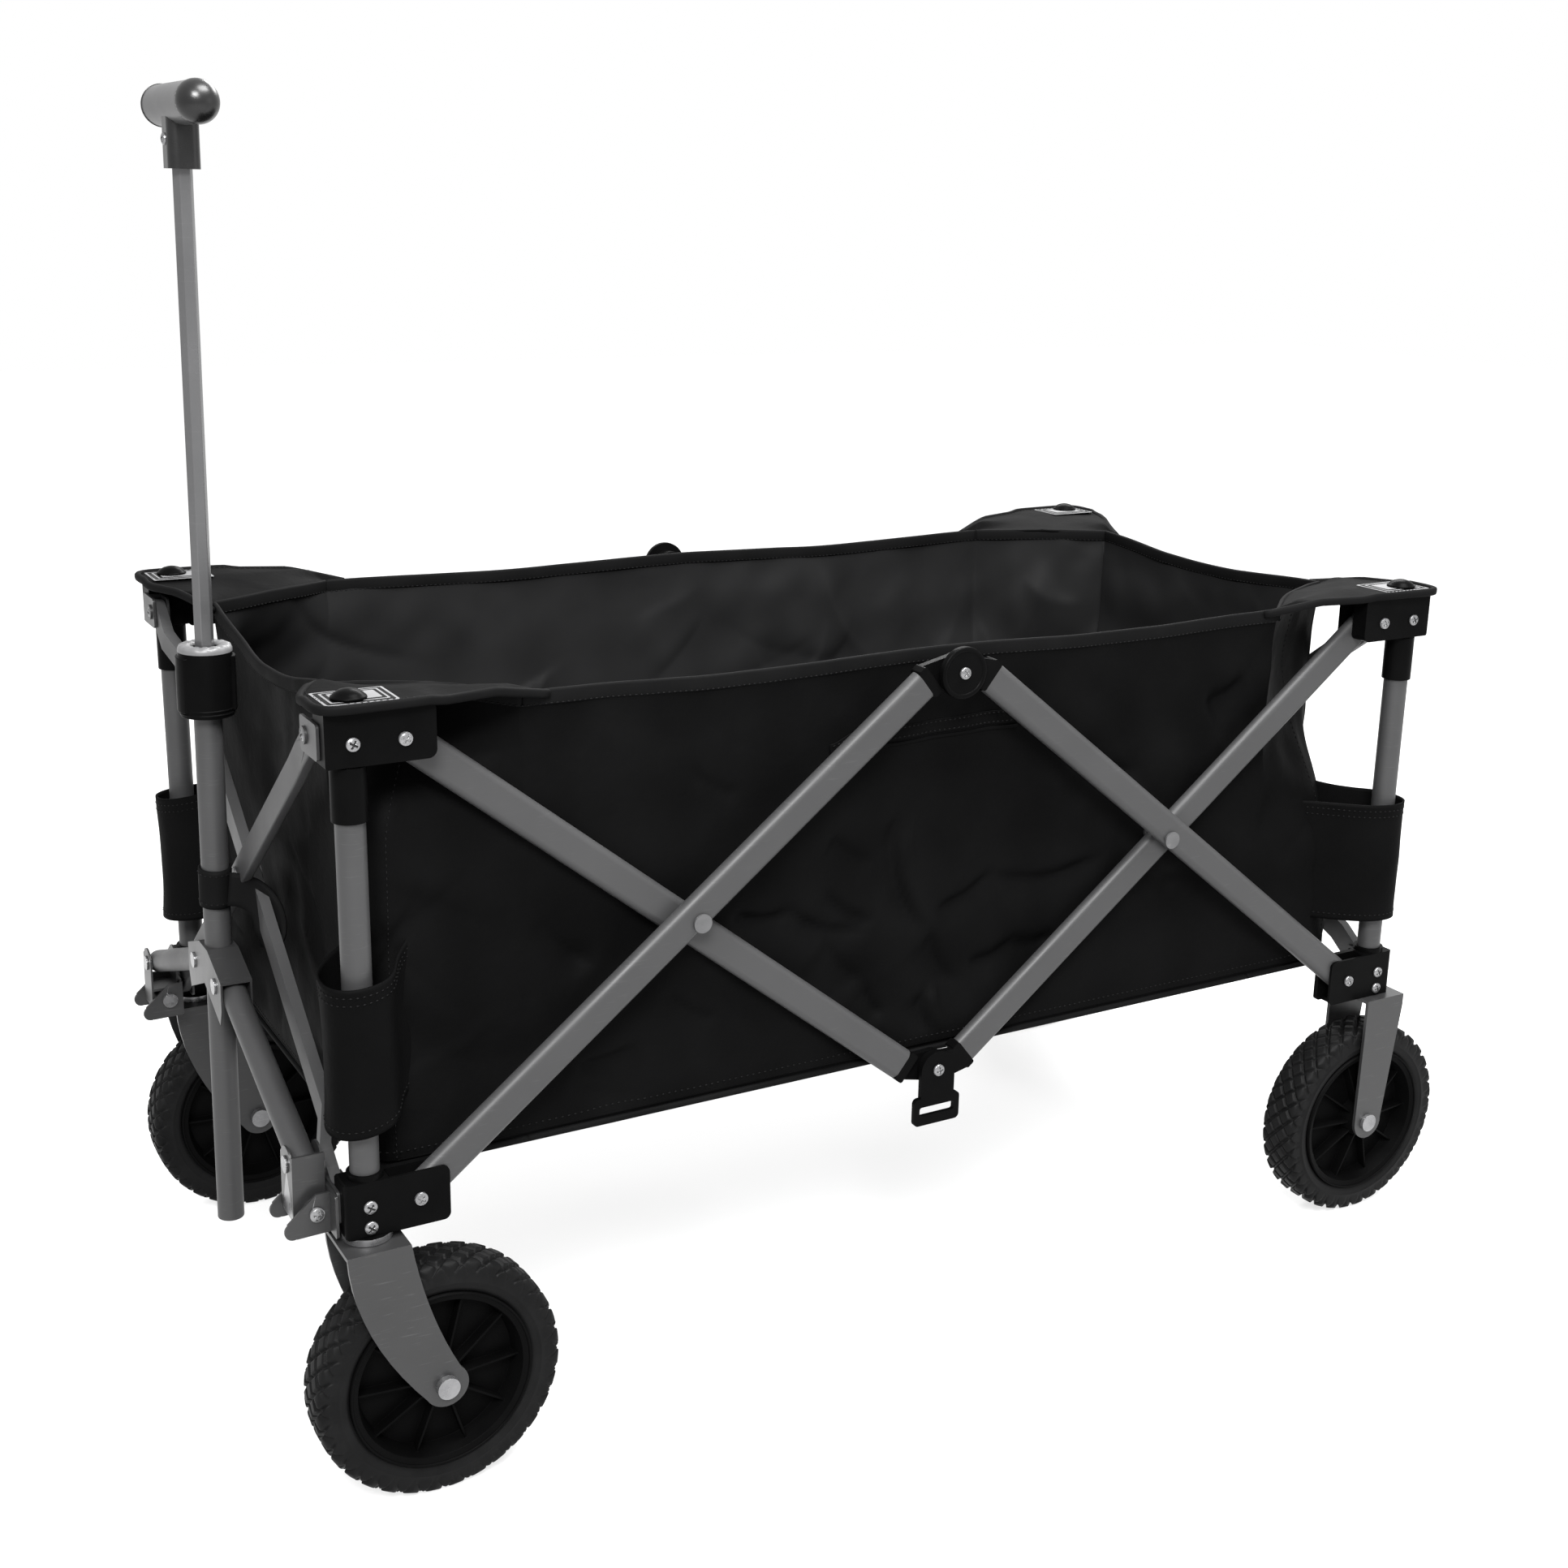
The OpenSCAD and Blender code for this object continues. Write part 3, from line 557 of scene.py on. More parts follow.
def tyre(c):
    """Tyre with a diamond tread cut by two crossing sets of grooves."""
    node = f"tyre_{c}"
    low, high = [[level(node, k, a) for a in range(3)] for k in (0, 1)]
    centre = (np.array(low) + high) / 2
    r, half = (high[2] - low[2]) / 2, (high[1] - low[1]) / 2
    inner = 66.0
    repeats, per = 32, 19
    side = [(inner, half - 3), (68, half - 1.2), (70.5, half - 0.5), (72.4, half - 0.4),
            (73, half + 0.0), (73.8, half - 0.0), (74.4, half - 0.5), (77, half - 0.4),
            (79.5, half - 0.6)]
    crown = []
    for k in range(53):
        a = -1 + 2 * k / 52
        bend = max(abs(a) - 0.52, 0) / 0.48
        out = a if bend == 0 else math.copysign(0.52 + 0.48 * math.sin(bend * math.pi / 2), a)
        crown.append((r - 0.5 * a * a - 7.0 * bend ** 2.2, -(half - 0.3) * out))
    section = side + crown[1:-1] + [(q, -h) for q, h in side[::-1]]
    section = np.array(section)
    seam = np.concatenate([[0], np.cumsum(np.linalg.norm(np.diff(section, axis=0), axis=1))])
    reach = seam - seam[len(section) // 2]
    n = repeats * per
    angles = np.arange(n) * 2 * math.pi / n
    turn = angles[:, None] * repeats / (2 * math.pi)
    cell = 15.4
    depth = np.zeros((n, len(section)))
    for sign in (-1, 1):
        phase = turn + sign * reach[None, :] / cell
        off = np.abs(phase - np.round(phase)) * cell * 0.72
        depth = np.maximum(depth, np.exp(-(off / 1.35) ** 4))
    on_tread = step(27.5, 23.0, np.abs(reach))[None, :]
    radius = section[None, :, 0] - 3.1 * depth * on_tread
    width = section[None, :, 1] * np.ones((n, 1))
    width = width - np.sign(width) * 0.5 * depth * on_tread * step(12, 19, np.abs(width))
    grid = np.stack([radius * np.sin(angles)[:, None], width,
                     radius * np.cos(angles)[:, None]], -1)
    piece = Piece()
    piece.add(grid.reshape(-1, 3) + centre, grid_faces(n, len(section), close=True), RUBBER)
    # the bore that sits on the wheel centre
    piece.add(*turned([(inner, -(half - 3)), (inner, half - 3)], 96, "y", centre), RUBBER)
    o = piece.object(f"tyre_tread_{c}")
    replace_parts(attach(o, f"wheel_{c}"), node)
    lip = Piece()
    for side_ in (-1, 1):
        ring = [(65.9, 0.0), (65.7, 0.9), (65.0, 1.2), (64.2, 0.9), (63.8, 0.0), (64.8, -0.6)]
        points, faces = turned([(q, side_ * (18.3 + h)) for q, h in ring + ring[:1]], 96, "y",
                               centre)
        lip.add(points, faces, HUB)
    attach(lip.object(f"hub_lip_{c}"), f"wheel_{c}")


for c in CORNERS:
    tyre(c)


# ---------- fabric: folds and creases ----------

def undulation(a, b, seed, shortest, longest, waves=16):
    """Soft folds from waves in random directions, about -1 to 1."""
    r = np.random.default_rng(seed)
    total, weight = np.zeros(np.broadcast(a, b).shape), 0.0
    for _ in range(waves):
        long = r.uniform(shortest, longest)
        angle, phase = r.uniform(0, math.pi), r.uniform(0, 2 * math.pi)
        total += long / longest * np.sin(
            (a * math.cos(angle) + b * math.sin(angle)) * 2 * math.pi / long + phase)
        weight += (long / longest) ** 2
    return total / math.sqrt(weight * 2)


def creases(a, b, lines):
    """Folds with one steep side, along short lines of (a0, b0, a1, b1, depth, width)."""
    total = np.zeros(np.broadcast(a, b).shape)
    for a0, b0, a1, b1, depth, width in lines:
        da, db = a1 - a0, b1 - b0
        size = math.hypot(da, db)
        along = ((a - a0) * da + (b - b0) * db) / size ** 2
        bow = 0.1 * size * np.sin(math.pi * np.clip(along, 0, 1))
        off = ((a - a0) * db - (b - b0) * da) / size - bow
        taper = step(-0.05, 0.3, along) * step(1.05, 0.7, along)
        spread = np.where(off < 0, 0.5, 1.7) * width
        total += depth * taper * np.exp(-np.sqrt((off / spread) ** 2 + 0.02) + 0.14)
    return total


def random_creases(seed, count, a_range, b_range):
    r = np.random.default_rng(seed)
    lines = []
    for _ in range(count):
        a, b = r.uniform(*a_range), r.uniform(*b_range)
        long, angle = r.uniform(80, 240), math.radians(r.choice([-1, 1]) * r.uniform(12, 70))
        lines.append((a, b, a + long * math.cos(angle), b + long * math.sin(angle),
                      r.choice([-1, -1, 1]) * r.uniform(0.8, 2.6), r.uniform(7, 18)))
    return lines


# ---------- bag ----------

WALL = 1.8
HEIGHTS = 84
FOOT_Z = BAG_LOW - 5
CORNER_R = {-1: 18.0, 1: 46.0}


def low_corner(t, r):
    """Plan of the bag's lower corner, of radius r, from the side wall to the end wall."""
    straight_1, straight_2 = BAG_X - r - CHAMFER_X, BAG_Y - r - CHAMFER_Y
    arc = r * math.pi / 2
    d = t * (straight_1 + arc + straight_2)
    if d < straight_1:
        return CHAMFER_X + d, BAG_Y
    if d < straight_1 + arc:
        a = (d - straight_1) / r
        return BAG_X - r + r * math.sin(a), BAG_Y - r + r * math.cos(a)
    return BAG_X, BAG_Y - r - (d - straight_1 - arc)


def perimeter():
    """The bag's plan as sections: (name, [(rim x, y), (foot x, y), rim height]...)."""
    def side(s):
        return [((x, s * BAG_Y), (x, s * BAG_Y), side_rim(x))
                for x in np.linspace(s * CHAMFER_X, -s * CHAMFER_X, 201)]

    def corner(e, s, to_end):
        out = []
        for t in np.linspace(0, 1, 49):
            rim = (CHAMFER_X + (BAG_X - CHAMFER_X) * t, BAG_Y + (CHAMFER_Y - BAG_Y) * t)
            bow = 7 * math.sin(math.pi * t)
            rim = (rim[0] - bow * 0.53, rim[1] - bow * 0.85)
            low = low_corner(t, CORNER_R[e])
            side_z, end_z = side_rim(CHAMFER_X), end_rim(e, CHAMFER_Y)
            z = side_z + (end_z - side_z) * t + 2 * math.sin(math.pi * t)
            out.append(((e * rim[0], s * rim[1]), (e * low[0], s * low[1]), z))
        return out if to_end else out[::-1]

    def end(e):
        return [((e * BAG_X, y), (e * BAG_X, y), end_rim(e, y))
                for y in np.linspace(-e * CHAMFER_Y, e * CHAMFER_Y, 91)]

    return [("side_l", side(-1)), ("corner_rl", corner(1, -1, True)),
            ("end_rear", end(1)), ("corner_rr", corner(1, 1, False)),
            ("side_r", side(1)), ("corner_fr", corner(-1, 1, True)),
            ("end_front", end(-1)), ("corner_fl", corner(-1, -1, False))]


def side_rim(x):
    """Height of the side walls' rim: held at the corners and at the middle hinge."""
    q = abs(x) / CHAMFER_X
    return BAG_TOP - 4.5 - 3.0 * math.sin(math.pi * q) ** 2


def end_rim(e, y):
    """Height of an end wall's rim, which hangs between its two flaps."""
    q = math.cos(math.pi / 2 * abs(y) / (CHAMFER_Y + 4))
    return BAG_TOP - 1.5 - (21 if e < 0 else 9) * q ** 1.4


sections = perimeter()
ring, spans, start = [], {}, 0
for name, points in sections:
    ring += points[:-1]
    spans[name] = (start, start + len(points) - 1)
    start += len(points) - 1
count = len(ring)
rim_xy = np.array([p[0] for p in ring])
foot_xy = np.array([p[1] for p in ring])
rim_z = np.array([p[2] for p in ring])
v = np.linspace(0, 1, HEIGHTS)
rear_end = step(-100, 100, foot_xy[:, 0])[:, None]
mixed = (step(0.7, 1.0, v) * (1 - rear_end) + step(0.25, 0.85, v) * rear_end)[..., None]
plan = foot_xy[:, None] * (1 - mixed) + rim_xy[:, None] * mixed
height = FOOT_Z + (rim_z[:, None] - FOOT_Z) * v[None, :]
bag = np.concatenate([plan, height[..., None]], -1)
outward = normals_of(bag, close=True)
around = np.concatenate([[0], np.cumsum(np.linalg.norm(np.diff(foot_xy, axis=0), axis=1))])
around = around[:, None]
LENGTH = float(around[-1, 0] + np.linalg.norm(foot_xy[0] - foot_xy[-1]))

# where the wall may move: held at the rim, at the foot and where the ring closes
held = step(0.0, 0.12, v)[None, :] * (0.35 + 0.65 * step(1.0, 0.86, v))[None, :]
near = around - CHAMFER_X  # along the left wall this is x
lines = [(-34, 440, -8, 338, -5, 9), (-20, 436, 3, 338, 4, 6), (0, 340, 30, 286, -4, 8),
         (8, 292, 17, 250, 4, 5), (-3, 288, 3, 250, -4, 6), (3, 352, 62, 377, -6, 8),
         (55, 375, 168, 374, -5.5, 8), (-176, 380, -118, 373, -5, 8), (-126, 374, -57, 347, -5, 7),
         (-97, 387, -50, 353, -4, 7), (-94, 430, -46, 398, -4.5, 10),
         (-358, 452, -324, 404, -6, 15), (-332, 412, -282, 360, -6, 13),
         (38, 303, 87, 317, -5.5, 8), (79, 316, 124, 313, -5, 7), (-300, 286, -248, 293, -4.5, 9),
         (-305, 276, -245, 251, -4.5, 9), (-92, 346, -55, 302, -5, 13), (-58, 305, -38, 272, -4, 10),
         (210, 362, 254, 338, -5, 12), (264, 489, 308, 507, -6, 12), (-215, 500, -160, 470, -4, 14),
         (130, 470, 200, 440, -4, 13), (-230, 330, -180, 300, -4, 12)]
fold = 1.5 * creases(near, height, lines)
fold += creases(around, height, random_creases(5, 120, (690, LENGTH - 20), (255, 545)))
fold += 0.5 * creases(around, height, random_creases(6, 26, (0, 690), (255, 545)))
fold += 4.2 * undulation(around, height, 11, 90, 420)
fold += 1.5 * undulation(around, height, 12, 30, 90, 20)
ends = step(0, 60, around) * step(LENGTH, LENGTH - 60, around)
fold *= held * (0.25 + 0.75 * ends)
# the bars and posts outside stop the cloth, so outward folds are pressed flat
fold = np.where(fold > 0, 2.0 * np.tanh(fold / 2.0), 12 * np.tanh(fold * 1.3 / 12))
sag = -3.0 * np.sin(math.pi * v)[None, :] ** 1.5
bag = bag + outward * (fold + sag * 0.6)[..., None]
outward = normals_of(bag, close=True)
# the lower edge turns under into the floor
under = step(0.045, 0.0, v)[None, :]
bag = bag - outward * (5.0 * under ** 2)[..., None]

RIM_SECTION = rounded_section(4.2, 11.0, 1.8)
PIPE_SECTION = [(2.6 * math.cos(a), 2.6 * math.sin(a)) for a in np.arange(10) * math.pi / 5]


def on_wall(name, x, z):
    """Points on a side wall's outer face, and their normals, at places along it."""
    a, b = spans[name]
    columns = bag[[i % count for i in range(a, b + 1)]]
    normals = outward[[i % count for i in range(a, b + 1)]]
    where, out = [], []
    for px, pz in zip(x, z):
        i = (px + CHAMFER_X) / (2 * CHAMFER_X) * (b - a)
        k = min(int(i), b - a - 1)
        line = columns[k] * (1 - i + k) + columns[k + 1] * (i - k)
        j = int(np.clip(np.searchsorted(line[:, 2], pz) - 1, 0, HEIGHTS - 2))
        f = (pz - line[j, 2]) / (line[j + 1, 2] - line[j, 2])
        where.append(line[j] * (1 - f) + line[j + 1] * f)
        out.append(normals[k, j])
    out = unit(np.array(out))
    return np.array(where) + out * WALL / 2, out


def pocket_strip(piece):
    """The bound top edge of the pocket on the left wall, curling under at its front end."""
    x = np.linspace(-96, 74, 61)
    z = 502 - 9 * step(-70, -96, x) + 0.8 * np.sin(x / 23.0)
    for shift, wide, thick in ((0.0, 10.5, 1.2), (-8.5, 2.6, 1.6)):
        path, out = on_wall("side_l", x, z + shift)
        path = path + out * thick * 0.3
        piece.add(*sweep(path, rounded_section(thick, wide, thick * 0.45)), CLOTH)
    for shift in (3.6, -3.4):
        path, out = on_wall("side_l", x[1:-1], z[1:-1] + shift)
        stitches(piece, path + out * 1.15, out)


def bag_section(name, body):
    """One stretch of the bag's wall with its rim binding, foot piping and stitching."""
    a, b = spans[name]
    take = [i % count for i in range(a, b + 1)]
    grid, n = bag[take], outward[take]
    piece = Piece()
    points, faces = shell(grid, WALL, n)
    cells = (len(grid) - 1) * (HEIGHTS - 1)
    piece.add(points, faces[:cells] + faces[2 * cells:], CLOTH, normals=np.concatenate([n, -n]))
    piece.add(points, faces[cells:2 * cells], LINING, normals=np.concatenate([n, -n]))
    wave = 0.5 * np.sin(around[take, 0] / 17.0)[:, None]
    rim = grid[:, -1] + (0, 0, -4.4) + n[:, -1] * wave
    piece.add(*sweep(rim, RIM_SECTION), TAPE)
    piece.add(*sweep(grid[:, 0] + n[:, 0] * 2.6 + (0, 0, -0.4), PIPE_SECTION), TAPE)
    for side in (-1, 1):
        stitches(piece, rim + n[:, -1] * side * 2.15 + (0, 0, -4.2), n[:, -1] * side)
    hem = grid[:, 3] + n[:, 3] * (WALL / 2 + 0.05)
    stitches(piece, hem, n[:, 3], 5.0, 3.2)
    if name.startswith("corner"):
        i = len(take) // 2 + (3 if name in ("corner_rl", "corner_fr") else -3)
        stitches(piece, grid[i, 2:-2] + n[i, 2:-2] * (WALL / 2 + 0.05), n[i, 2:-2], 4.6, 3.0)
    if name == "side_l":
        pocket_strip(piece)
    o = piece.object(f"bag_{name}")
    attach(o, body)
    return o


walls = {}
for name, body in (("side_l", "upper_rl"), ("side_r", "upper_rr"), ("end_rear", "upper_rl"),
                   ("end_front", "upper_fl"), ("corner_rl", "upper_rl"),
                   ("corner_rr", "upper_rr"), ("corner_fl", "upper_fl"),
                   ("corner_fr", "upper_fr")):
    walls[name] = bag_section(name, body)


def at(x, y, z):
    return tuple(place([(x, y, z)])[0])


# The side and end walls each get their own copy of their mesh
for name in ("side_l", "side_r"):
    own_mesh(walls[name])
for name in ("end_rear", "end_front"):
    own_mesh(walls[name])
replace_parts(walls["side_l"], "bag")


# ---------- bag floor and base board ----------

def floor_outline(x, inset):
    """Half width of the bag at a place along it."""
    q = abs(x)
    r = CORNER_R[-1 if x < 0 else 1]
    if q <= BAG_X - r:
        return BAG_Y - inset
    return BAG_Y - r - inset + math.sqrt(max(r * r - (q - BAG_X + r) ** 2, 0))


def panel(name, body, x0, x1, z, thick, kind, inset, lift):
    """One panel of the floor or board, which folds up across the wagon."""
    piece = Piece()
    xs = np.linspace(x0, x1, 41)
    ws = np.linspace(-1, 1, 49)
    grid = np.zeros((len(xs), len(ws), 3))
    for i, x in enumerate(xs):
        half = floor_outline(x, inset)
        grid[i, :, 0], grid[i, :, 1] = x, ws * half
    edge = np.minimum(np.minimum(xs - x0, x1 - xs)[:, None],
                      ((1 - np.abs(ws)) * BAG_Y)[None, :])
    grid[..., 2] = z + lift * step(0, 16, edge) + 0.5 * undulation(
        grid[..., 0], grid[..., 1], 31, 60, 200) * step(0, 30, edge)
    piece.add(*shell(grid, thick), kind)
    if lift:
        rows = [grid[3:-3, k] for k in (4, 44)] + [grid[k, 4:-4] for k in (3, 37)]
        for row in rows:
            stitches(piece, row + (0, 0, thick / 2 + 0.05), (0, 0, 1), 5.0, 3.2)
    o = piece.object(name)
    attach(o, body)
    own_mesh(o)
    return o


third = BAG_X / 3
for k, (part, body) in enumerate((("front", "upper_fl"), ("middle", "hinge_disc_l"),
                                  ("rear", "upper_rl"))):
    x0, x1 = -BAG_X + 3 + 2 * third * k, -BAG_X - 3 + 2 * third * (k + 1)
    o = panel(f"bag_floor_{part}", body, x0 - 2 if k == 0 else x0 - 3.2, x1 + 2
              if k == 2 else x1 + 3.2, BAG_LOW + 0.2 * k, 1.6, CLOTH, 1.5, 0.0)
    board = panel(f"bag_board_{part}", body, x0 + 4, x1 - 1, BAG_LOW + 4.6 + 0.3 * k, 5.0,
                  BOARD, 7, 1.2)
    if k == 1:
        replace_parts(board, "base_board")


# ---------- corner flaps ----------

TIP = (484.0, 257.0)
FLAP_Z = BRACKET_Z + 1.6


def flap_outline(n=49):
    """Inner and outer edges of a corner flap, from the side wall to the end wall."""
    t = np.linspace(0, 1, n)
    turns = [0, 0.14, 0.86, 1]
    inner = np.stack([np.interp(t, turns, [CHAMFER_X - 18, CHAMFER_X, BAG_X + 0.5, BAG_X + 2]),
                      np.interp(t, turns, [BAG_Y + 1, BAG_Y + 0.5, CHAMFER_Y, CHAMFER_Y - 14])], 1)
    bow = 8.5 * np.sin(math.pi * np.clip((t - 0.14) / 0.72, 0, 1))[:, None]
    inner = inner - bow * np.array([0.53, 0.85])
    corners = [(CHAMFER_X - 18, BAG_Y + 2), (CHAMFER_X + 14, BAG_Y + 17), (412, TIP[1] - 4),
               (TIP[0] - 16, TIP[1] - 1), (TIP[0] - 4, TIP[1] - 3.5), (TIP[0] - 1, TIP[1] - 13),
               (TIP[0] - 3, 206), (BAG_X + 14, CHAMFER_Y + 14), (BAG_X + 3, CHAMFER_Y - 14)]
    outer = resample([(*c, 0) for c in corners], 4)[:, :2]
    at_ = np.linspace(0, 1, len(outer))
    outer = np.stack([np.interp(t, at_, outer[:, k]) for k in range(2)], 1)
    for _ in range(2):
        outer[1:-1] = (outer[:-2] + 2 * outer[1:-1] + outer[2:]) / 4
    return inner, outer


def corner_flap(c, e, s):
    inner, outer = flap_outline()
    side_z, end_z = side_rim(CHAMFER_X - 18) - 1.5, end_rim(e, CHAMFER_Y - 14) - 1.5
    across = np.linspace(0, 1, 21)
    grid = np.zeros((len(inner), len(across), 3))
    grid[..., :2] = inner[:, None] + (outer - inner)[:, None] * across[None, :, None]
    edge_z = np.interp(np.linspace(0, 1, len(inner)), [0, 0.16, 0.5, 0.84, 1],
                       [side_z, FLAP_Z - 2.5, FLAP_Z - 0.5, FLAP_Z - 2.5, end_z])
    inner_z = np.interp(np.linspace(0, 1, len(inner)), [0, 0.5, 1],
                        [side_z, BAG_TOP - 1, end_z])
    lift = step(0, 0.45, across)[None, :]
    grid[..., 2] = inner_z[:, None] * (1 - lift) + edge_z[:, None] * lift
    x, y = grid[..., 0], grid[..., 1]
    wide = np.linalg.norm(outer - inner, axis=1)[:, None] / 90
    grid[..., 2] += 0.9 * undulation(x, y, 40 + len(c) + e + 2 * s, 40, 130) * np.minimum(
        wide, 1) * step(0, 0.2, across)[None, :] * step(1, 0.8, across)[None, :]
    on_bracket = step(398, 412, x) * step(212, 220, y)
    grid[..., 2] = grid[..., 2] * (1 - on_bracket) + (FLAP_Z + 0.2) * on_bracket
    piece = Piece()
    grid = mirrored(grid, e, s).reshape(grid.shape)
    n = normals_of(grid)
    n = n * np.sign(n[..., 2:].mean())
    piece.add(*shell(grid, 1.8, n), CLOTH)
    # bound outer edge, with a row of stitches inside it
    border = grid[:, -1] + n[:, -1] * -0.6
    tape = rounded_section(5.2, 6.4, 2.2)
    piece.add(*sweep(border, tape), TAPE)
    row = grid[2:-2, -3] + n[2:-2, -3] * 0.95
    stitches(piece, row, (0, 0, 1))
    o = piece.object(f"corner_flap_{c}", mirror=e * s < 0)
    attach(o, f"upper_{c}")


def plate(piece, x0, x1, y0, y1, z0, z1, r, kind, e, s):
    """A flat rounded patch."""
    outline = np.array(rounded_section(x1 - x0, y1 - y0, r)) + ((x0 + x1) / 2, (y0 + y1) / 2)
    n = len(outline)
    points = [(*p, z0) for p in outline] + [(*p, z1) for p in outline]
    faces = [(i, (i + 1) % n, (i + 1) % n + n, i + n) for i in range(n)]
    faces += [tuple(range(n, 2 * n)), tuple(range(n))[::-1]]
    if e * s < 0:
        faces = [f[::-1] for f in faces]
    piece.add(mirrored(points, e, s), faces, kind, flat=True)


for c, (e, s) in CORNERS.items():
    corner_flap(c, e, s)
    patch = Piece()
    top = FLAP_Z + 1.0
    x0, x1, y0, y1 = 428, 476, 211, 248
    for k, (inset, kind) in enumerate(((0, PATCH), (1.8, PLASTIC), (4.6, PATCH), (6.2, PLASTIC),
                                       (8.6, PATCH))):
        plate(patch, x0 + inset, x1 - inset, y0 + inset, y1 - inset, top, top + 0.35 + 0.12 * k,
              1.2, kind, e, s)
    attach(patch.object(f"corner_patch_{c}"), f"upper_{c}")
    cap = Piece()
    points, faces = turned([(0, 6.4), (3, 6.2), (6.5, 5.2), (9.4, 3.4), (10.6, 2.0), (11.4, 1.6),
                            (11.7, 0.9), (11.5, 0.0), (0, 0.0)], 48)
    cap.add(mirrored(points + (457, 234, top + 0.7), e, s), faces, PLASTIC)
    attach(cap.object(f"corner_cap_{c}", mirror=e * s < 0), f"upper_{c}")


# ---------- fabric sleeves round the posts ----------

def post_sleeve(c, e, s):
    """A loop of cloth from the bag's corner round the outside of a post."""
    start, end = (([(386, 199), (404, 216), (422, 233), (436, 245)], [(440, 190), (402, 184)])
                  if e > 0 else ([(412, 208), (424, 219), (431, 229), (435, 240)],
                                 [(447, 188), (418, 184)]))
    turn = start + [(441, 248), (452, 252.5), (463, 253.5), (473, 250), (480, 242), (482, 230),
                    (480, 216), (470, 203), (458, 194)] + end
    path = resample([(*p, 0) for p in turn], 3.0)[:, :2]
    for _ in range(6):
        path[1:-1] = (path[:-2] + 2 * path[1:-1] + path[2:]) / 4
    q = np.linspace(0, 1, len(path))
    dip = np.sin(math.pi * np.clip(q * 1.25 - 0.06, 0, 1)) if e < 0 else step(1, 0.7, q)
    high = 401 - 14 * dip ** 0.8
    low = 296 - 15 * (np.sin(math.pi * q) ** 1.3 if e < 0 else dip)
    v_ = np.linspace(0, 1, 40)
    grid = np.zeros((len(path), len(v_), 3))
    waist = 1.5 * np.sin(math.pi * v_)[None, :]
    mid = np.array([459, 228.0])
    out = unit(path - mid)
    ripple = 0.8 * undulation(q[:, None] * 130, v_[None, :] * 125, 60 + e + 3 * s, 30, 120)
    grid[..., :2] = path[:, None] - out[:, None] * (waist + ripple - 0.4)[..., None]
    grid[..., 2] = low[:, None] + (high - low)[:, None] * v_[None, :]
    grid = mirrored(grid, e, s).reshape(grid.shape)
    n = normals_of(grid)
    if (n[len(n) // 2, 20, 1] > 0) != (s > 0):
        n = -n
    piece = Piece()
    piece.add(*shell(grid, 1.5, n), CLOTH)
    for k, j in ((0.9, 2), (0.9, -3), (0.9, -5)):
        stitches(piece, grid[2:-2, j] + n[2:-2, j] * k, n[2:-2, j], 4.4, 3.0)
    o = piece.object(f"post_sleeve_{c}", mirror=e * s < 0)
    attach(o, f"upper_{c}")


for c, (e, s) in CORNERS.items():
    post_sleeve(c, e, s)


# ---------- handle details ----------

def lean_point(points):
    """Points on the parked handle, which leans back about its hinge bolt."""
    p = np.asarray(points, float).reshape(-1, 3) - HINGE
    return np.stack([p[:, 0] * math.cos(LEAN) + p[:, 2] * math.sin(LEAN), p[:, 1],
                     -p[:, 0] * math.sin(LEAN) + p[:, 2] * math.cos(LEAN)], 1) + HINGE


TUBE_X = -493.5
ring_piece = Piece()


def notched(angles, radius, height):
    cut = step(0.6, 0.9, np.abs(np.sin(angles * 7))) * (height > 565.5)
    return radius, height - 0.5 * cut


points, faces = turned([(9.6, 560), (9.6, 565.2), (12, 566.3), (16, 566.6), (18.2, 565.6),
                        (19.15, 563.2), (19.15, 561.2)], 96, "z", (TUBE_X, 0, 0), notched)
ring_piece.add(lean_point(points), faces, RING)
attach(ring_piece.object("collar_ring"), "collar")

grooves = Piece()
for z in (516.5, 519.5):
    points, faces = turned([(18.9, z - 0.9), (19.5, z - 0.4), (19.5, z + 0.4), (18.9, z + 0.9)],
                           72, "z", (TUBE_X, 0, 0))
    grooves.add(lean_point(points), faces, PLASTIC)
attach(grooves.object("collar_grooves"), "collar")

# Webbing strap round the handle tube with a hanging tail
strap = Piece()
angles = np.linspace(0, 2 * math.pi, 49)
heights = np.linspace(369, 398, 9)
loop = np.zeros((49, 9, 3))
radius = 11.2 + 0.25 * np.sin(angles * 3)
loop[..., 0] = TUBE_X + (radius * np.cos(angles))[:, None]
loop[..., 1] = (radius * np.sin(angles))[:, None]
loop[..., 2] = heights[None, :] + 0.8 * np.sin(angles)[:, None]
loop = lean_point(loop).reshape(loop.shape)
out = unit(loop - np.array([TUBE_X, 0, 0]) * (1, 0, 0) - loop * (0, 0, 1) - (2, 0, 0))
strap.add(*shell(loop, 1.7, unit(out * (1, 1, 0))), TAPE)
for j in (1, 7):
    stitches(strap, loop[:, j] + unit(out[:, j] * (1, 1, 0)) * 0.9, unit(out[:, j] * (1, 1, 0)))
tail_path = np.array([(-487, -11.4, 383), (-479, -15, 382.5), (-472, -21, 380), (-466, -27, 374),
                      (-462.8, -32, 364), (-463, -35, 352), (-465, -37, 341)], float)
tail_path = resample(tail_path, 3)
for _ in range(4):
    tail_path[1:-1] = (tail_path[:-2] + 2 * tail_path[1:-1] + tail_path[2:]) / 4
tail_t = unit(np.gradient(tail_path, axis=0))
broad = unit(np.cross(tail_t, unit(np.cross(tail_t, (0.2, 0.1, 1.0)) + (0.001, 0, 0))))
tail = tail_path[:, None] + broad[:, None] * np.linspace(-12.5, 12.5, 7)[None, :, None]
strap.add(*shell(lean_point(tail).reshape(tail.shape), 1.7), TAPE)
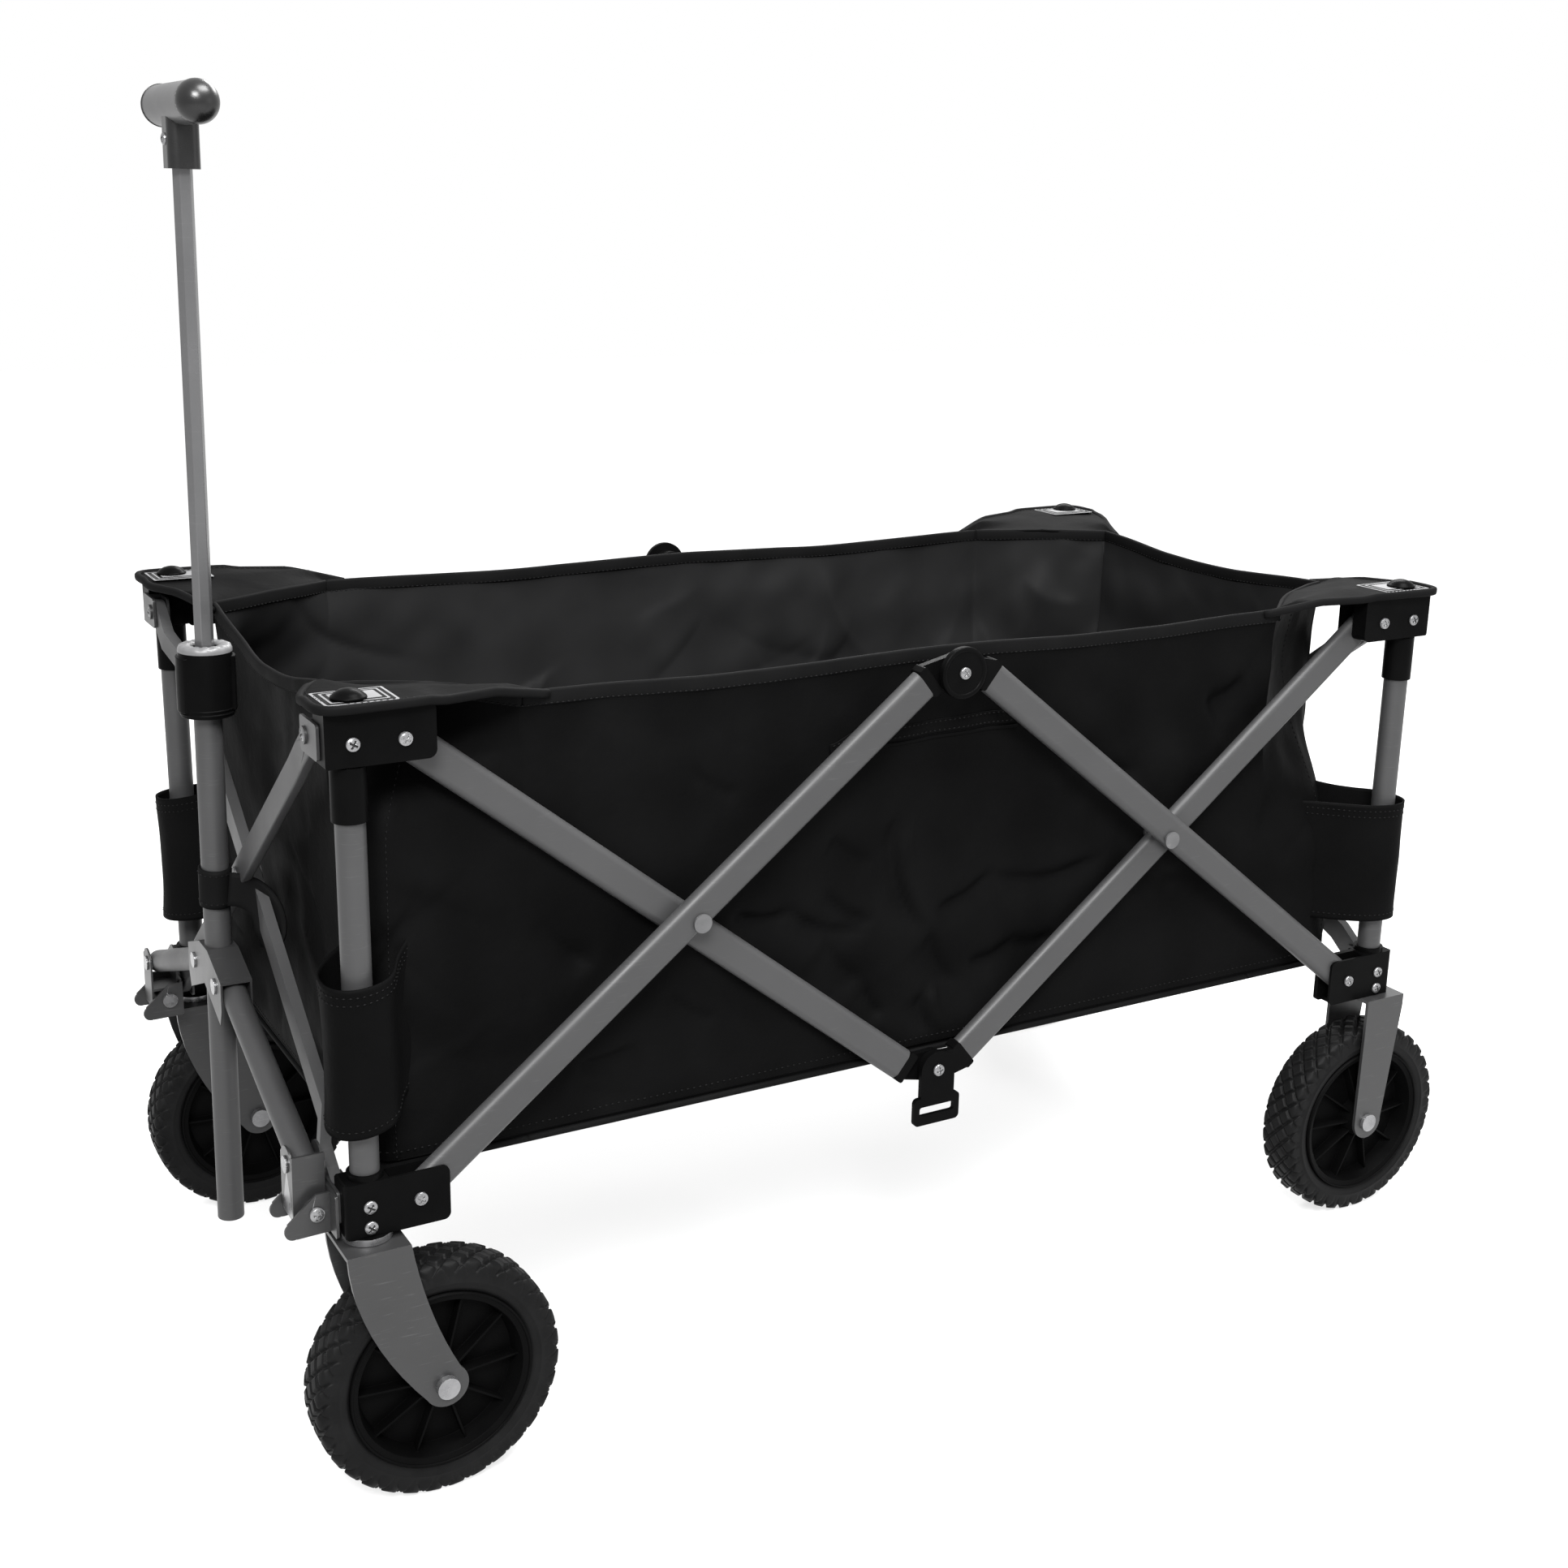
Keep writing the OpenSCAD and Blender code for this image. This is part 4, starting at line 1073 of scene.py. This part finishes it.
o = strap.object("handle_webbing")
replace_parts(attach(o, "handle"), "handle_strap")

# T socket screw
socket = Piece()
screw(socket, lean_point([(TUBE_X - 11, 0, 912)])[0], (-1, 0, 0), r=4.0, rise=2.2)
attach(socket.object("socket_screw"), "rod")


# ---------- floor, light and camera ----------

def facing(x, y, z, where):
    """The matrix of a lamp or camera at a place, with its own axes given."""
    return Matrix([[x[k], y[k], z[k], where[k]] for k in range(3)] + [[0, 0, 0, 1]])


def studio():
    floor = Piece()
    floor.add([(-9000, -9000, 0), (9000, -9000, 0), (9000, 9000, 0), (-9000, 9000, 0)],
              [(0, 1, 2, 3)], material("studio_floor", (0.3, 0.3, 0.3), 0.8, bump=0.0,
                                       mottle=0.01, gloss=0.0, glow=0.72))
    o = floor.object("studio_floor")
    world = bpy.data.worlds.new("studio")
    world.use_nodes = True
    world.node_tree.nodes["Background"].inputs["Color"].default_value = (1, 1, 1, 1)
    world.node_tree.nodes["Background"].inputs["Strength"].default_value = 1.0
    bpy.context.scene.world = world
    bpy.context.scene.view_settings.view_transform = "Standard"
    for name, size, power, where, aim in (
            ("key", (1.2, 0.9), 200, (-1.4, -2.3, 2.5), (0, 0, 0.35)),
            ("top", (1.8, 1.2), 190, (0.5, -0.9, 3.1), (0, 0, 0.4)),
            ("rim", (2.2, 0.8), 80, (1.6, 1.9, 2.4), (0, 0, 0.45)),
            ("fill", (2.0, 1.4), 8, (2.4, -2.4, 1.2), (0, 0, 0.3))):
        light = bpy.data.lights.new(name, "AREA")
        light.shape = "RECTANGLE"
        light.size, light.size_y = size
        light.energy = power
        lamp = bpy.data.objects.new(name, light)
        bpy.context.scene.collection.objects.link(lamp)
        towards = np.asarray(aim, float) - where
        z = unit(-towards)
        x = unit(np.cross((0, 0, 1), z))
        lamp.matrix_world = facing(x, np.cross(z, x), z, where)


def camera():
    azimuth, elevation, roll = (math.radians(a) for a in (-30.16, 15.55, 1.17))
    right = np.array([math.cos(azimuth), math.sin(azimuth), 0])
    back = np.array([math.sin(azimuth) * math.cos(elevation),
                     -math.cos(azimuth) * math.cos(elevation), math.sin(elevation)])
    up = np.cross(back, right)
    x = right * math.cos(roll) + up * math.sin(roll)
    y = -right * math.sin(roll) + up * math.cos(roll)
    data = bpy.data.cameras.new("camera")
    data.lens, data.sensor_width = 45.77, 36.0
    data.shift_x, data.shift_y = -0.0078, -0.0188
    data.clip_start, data.clip_end = 0.05, 60
    o = bpy.data.objects.new("camera", data)
    bpy.context.scene.collection.objects.link(o)
    o.matrix_world = facing(x, y, back, (-0.8387, -1.4210, 0.8811))
    bpy.context.scene.camera = o


studio()
camera()
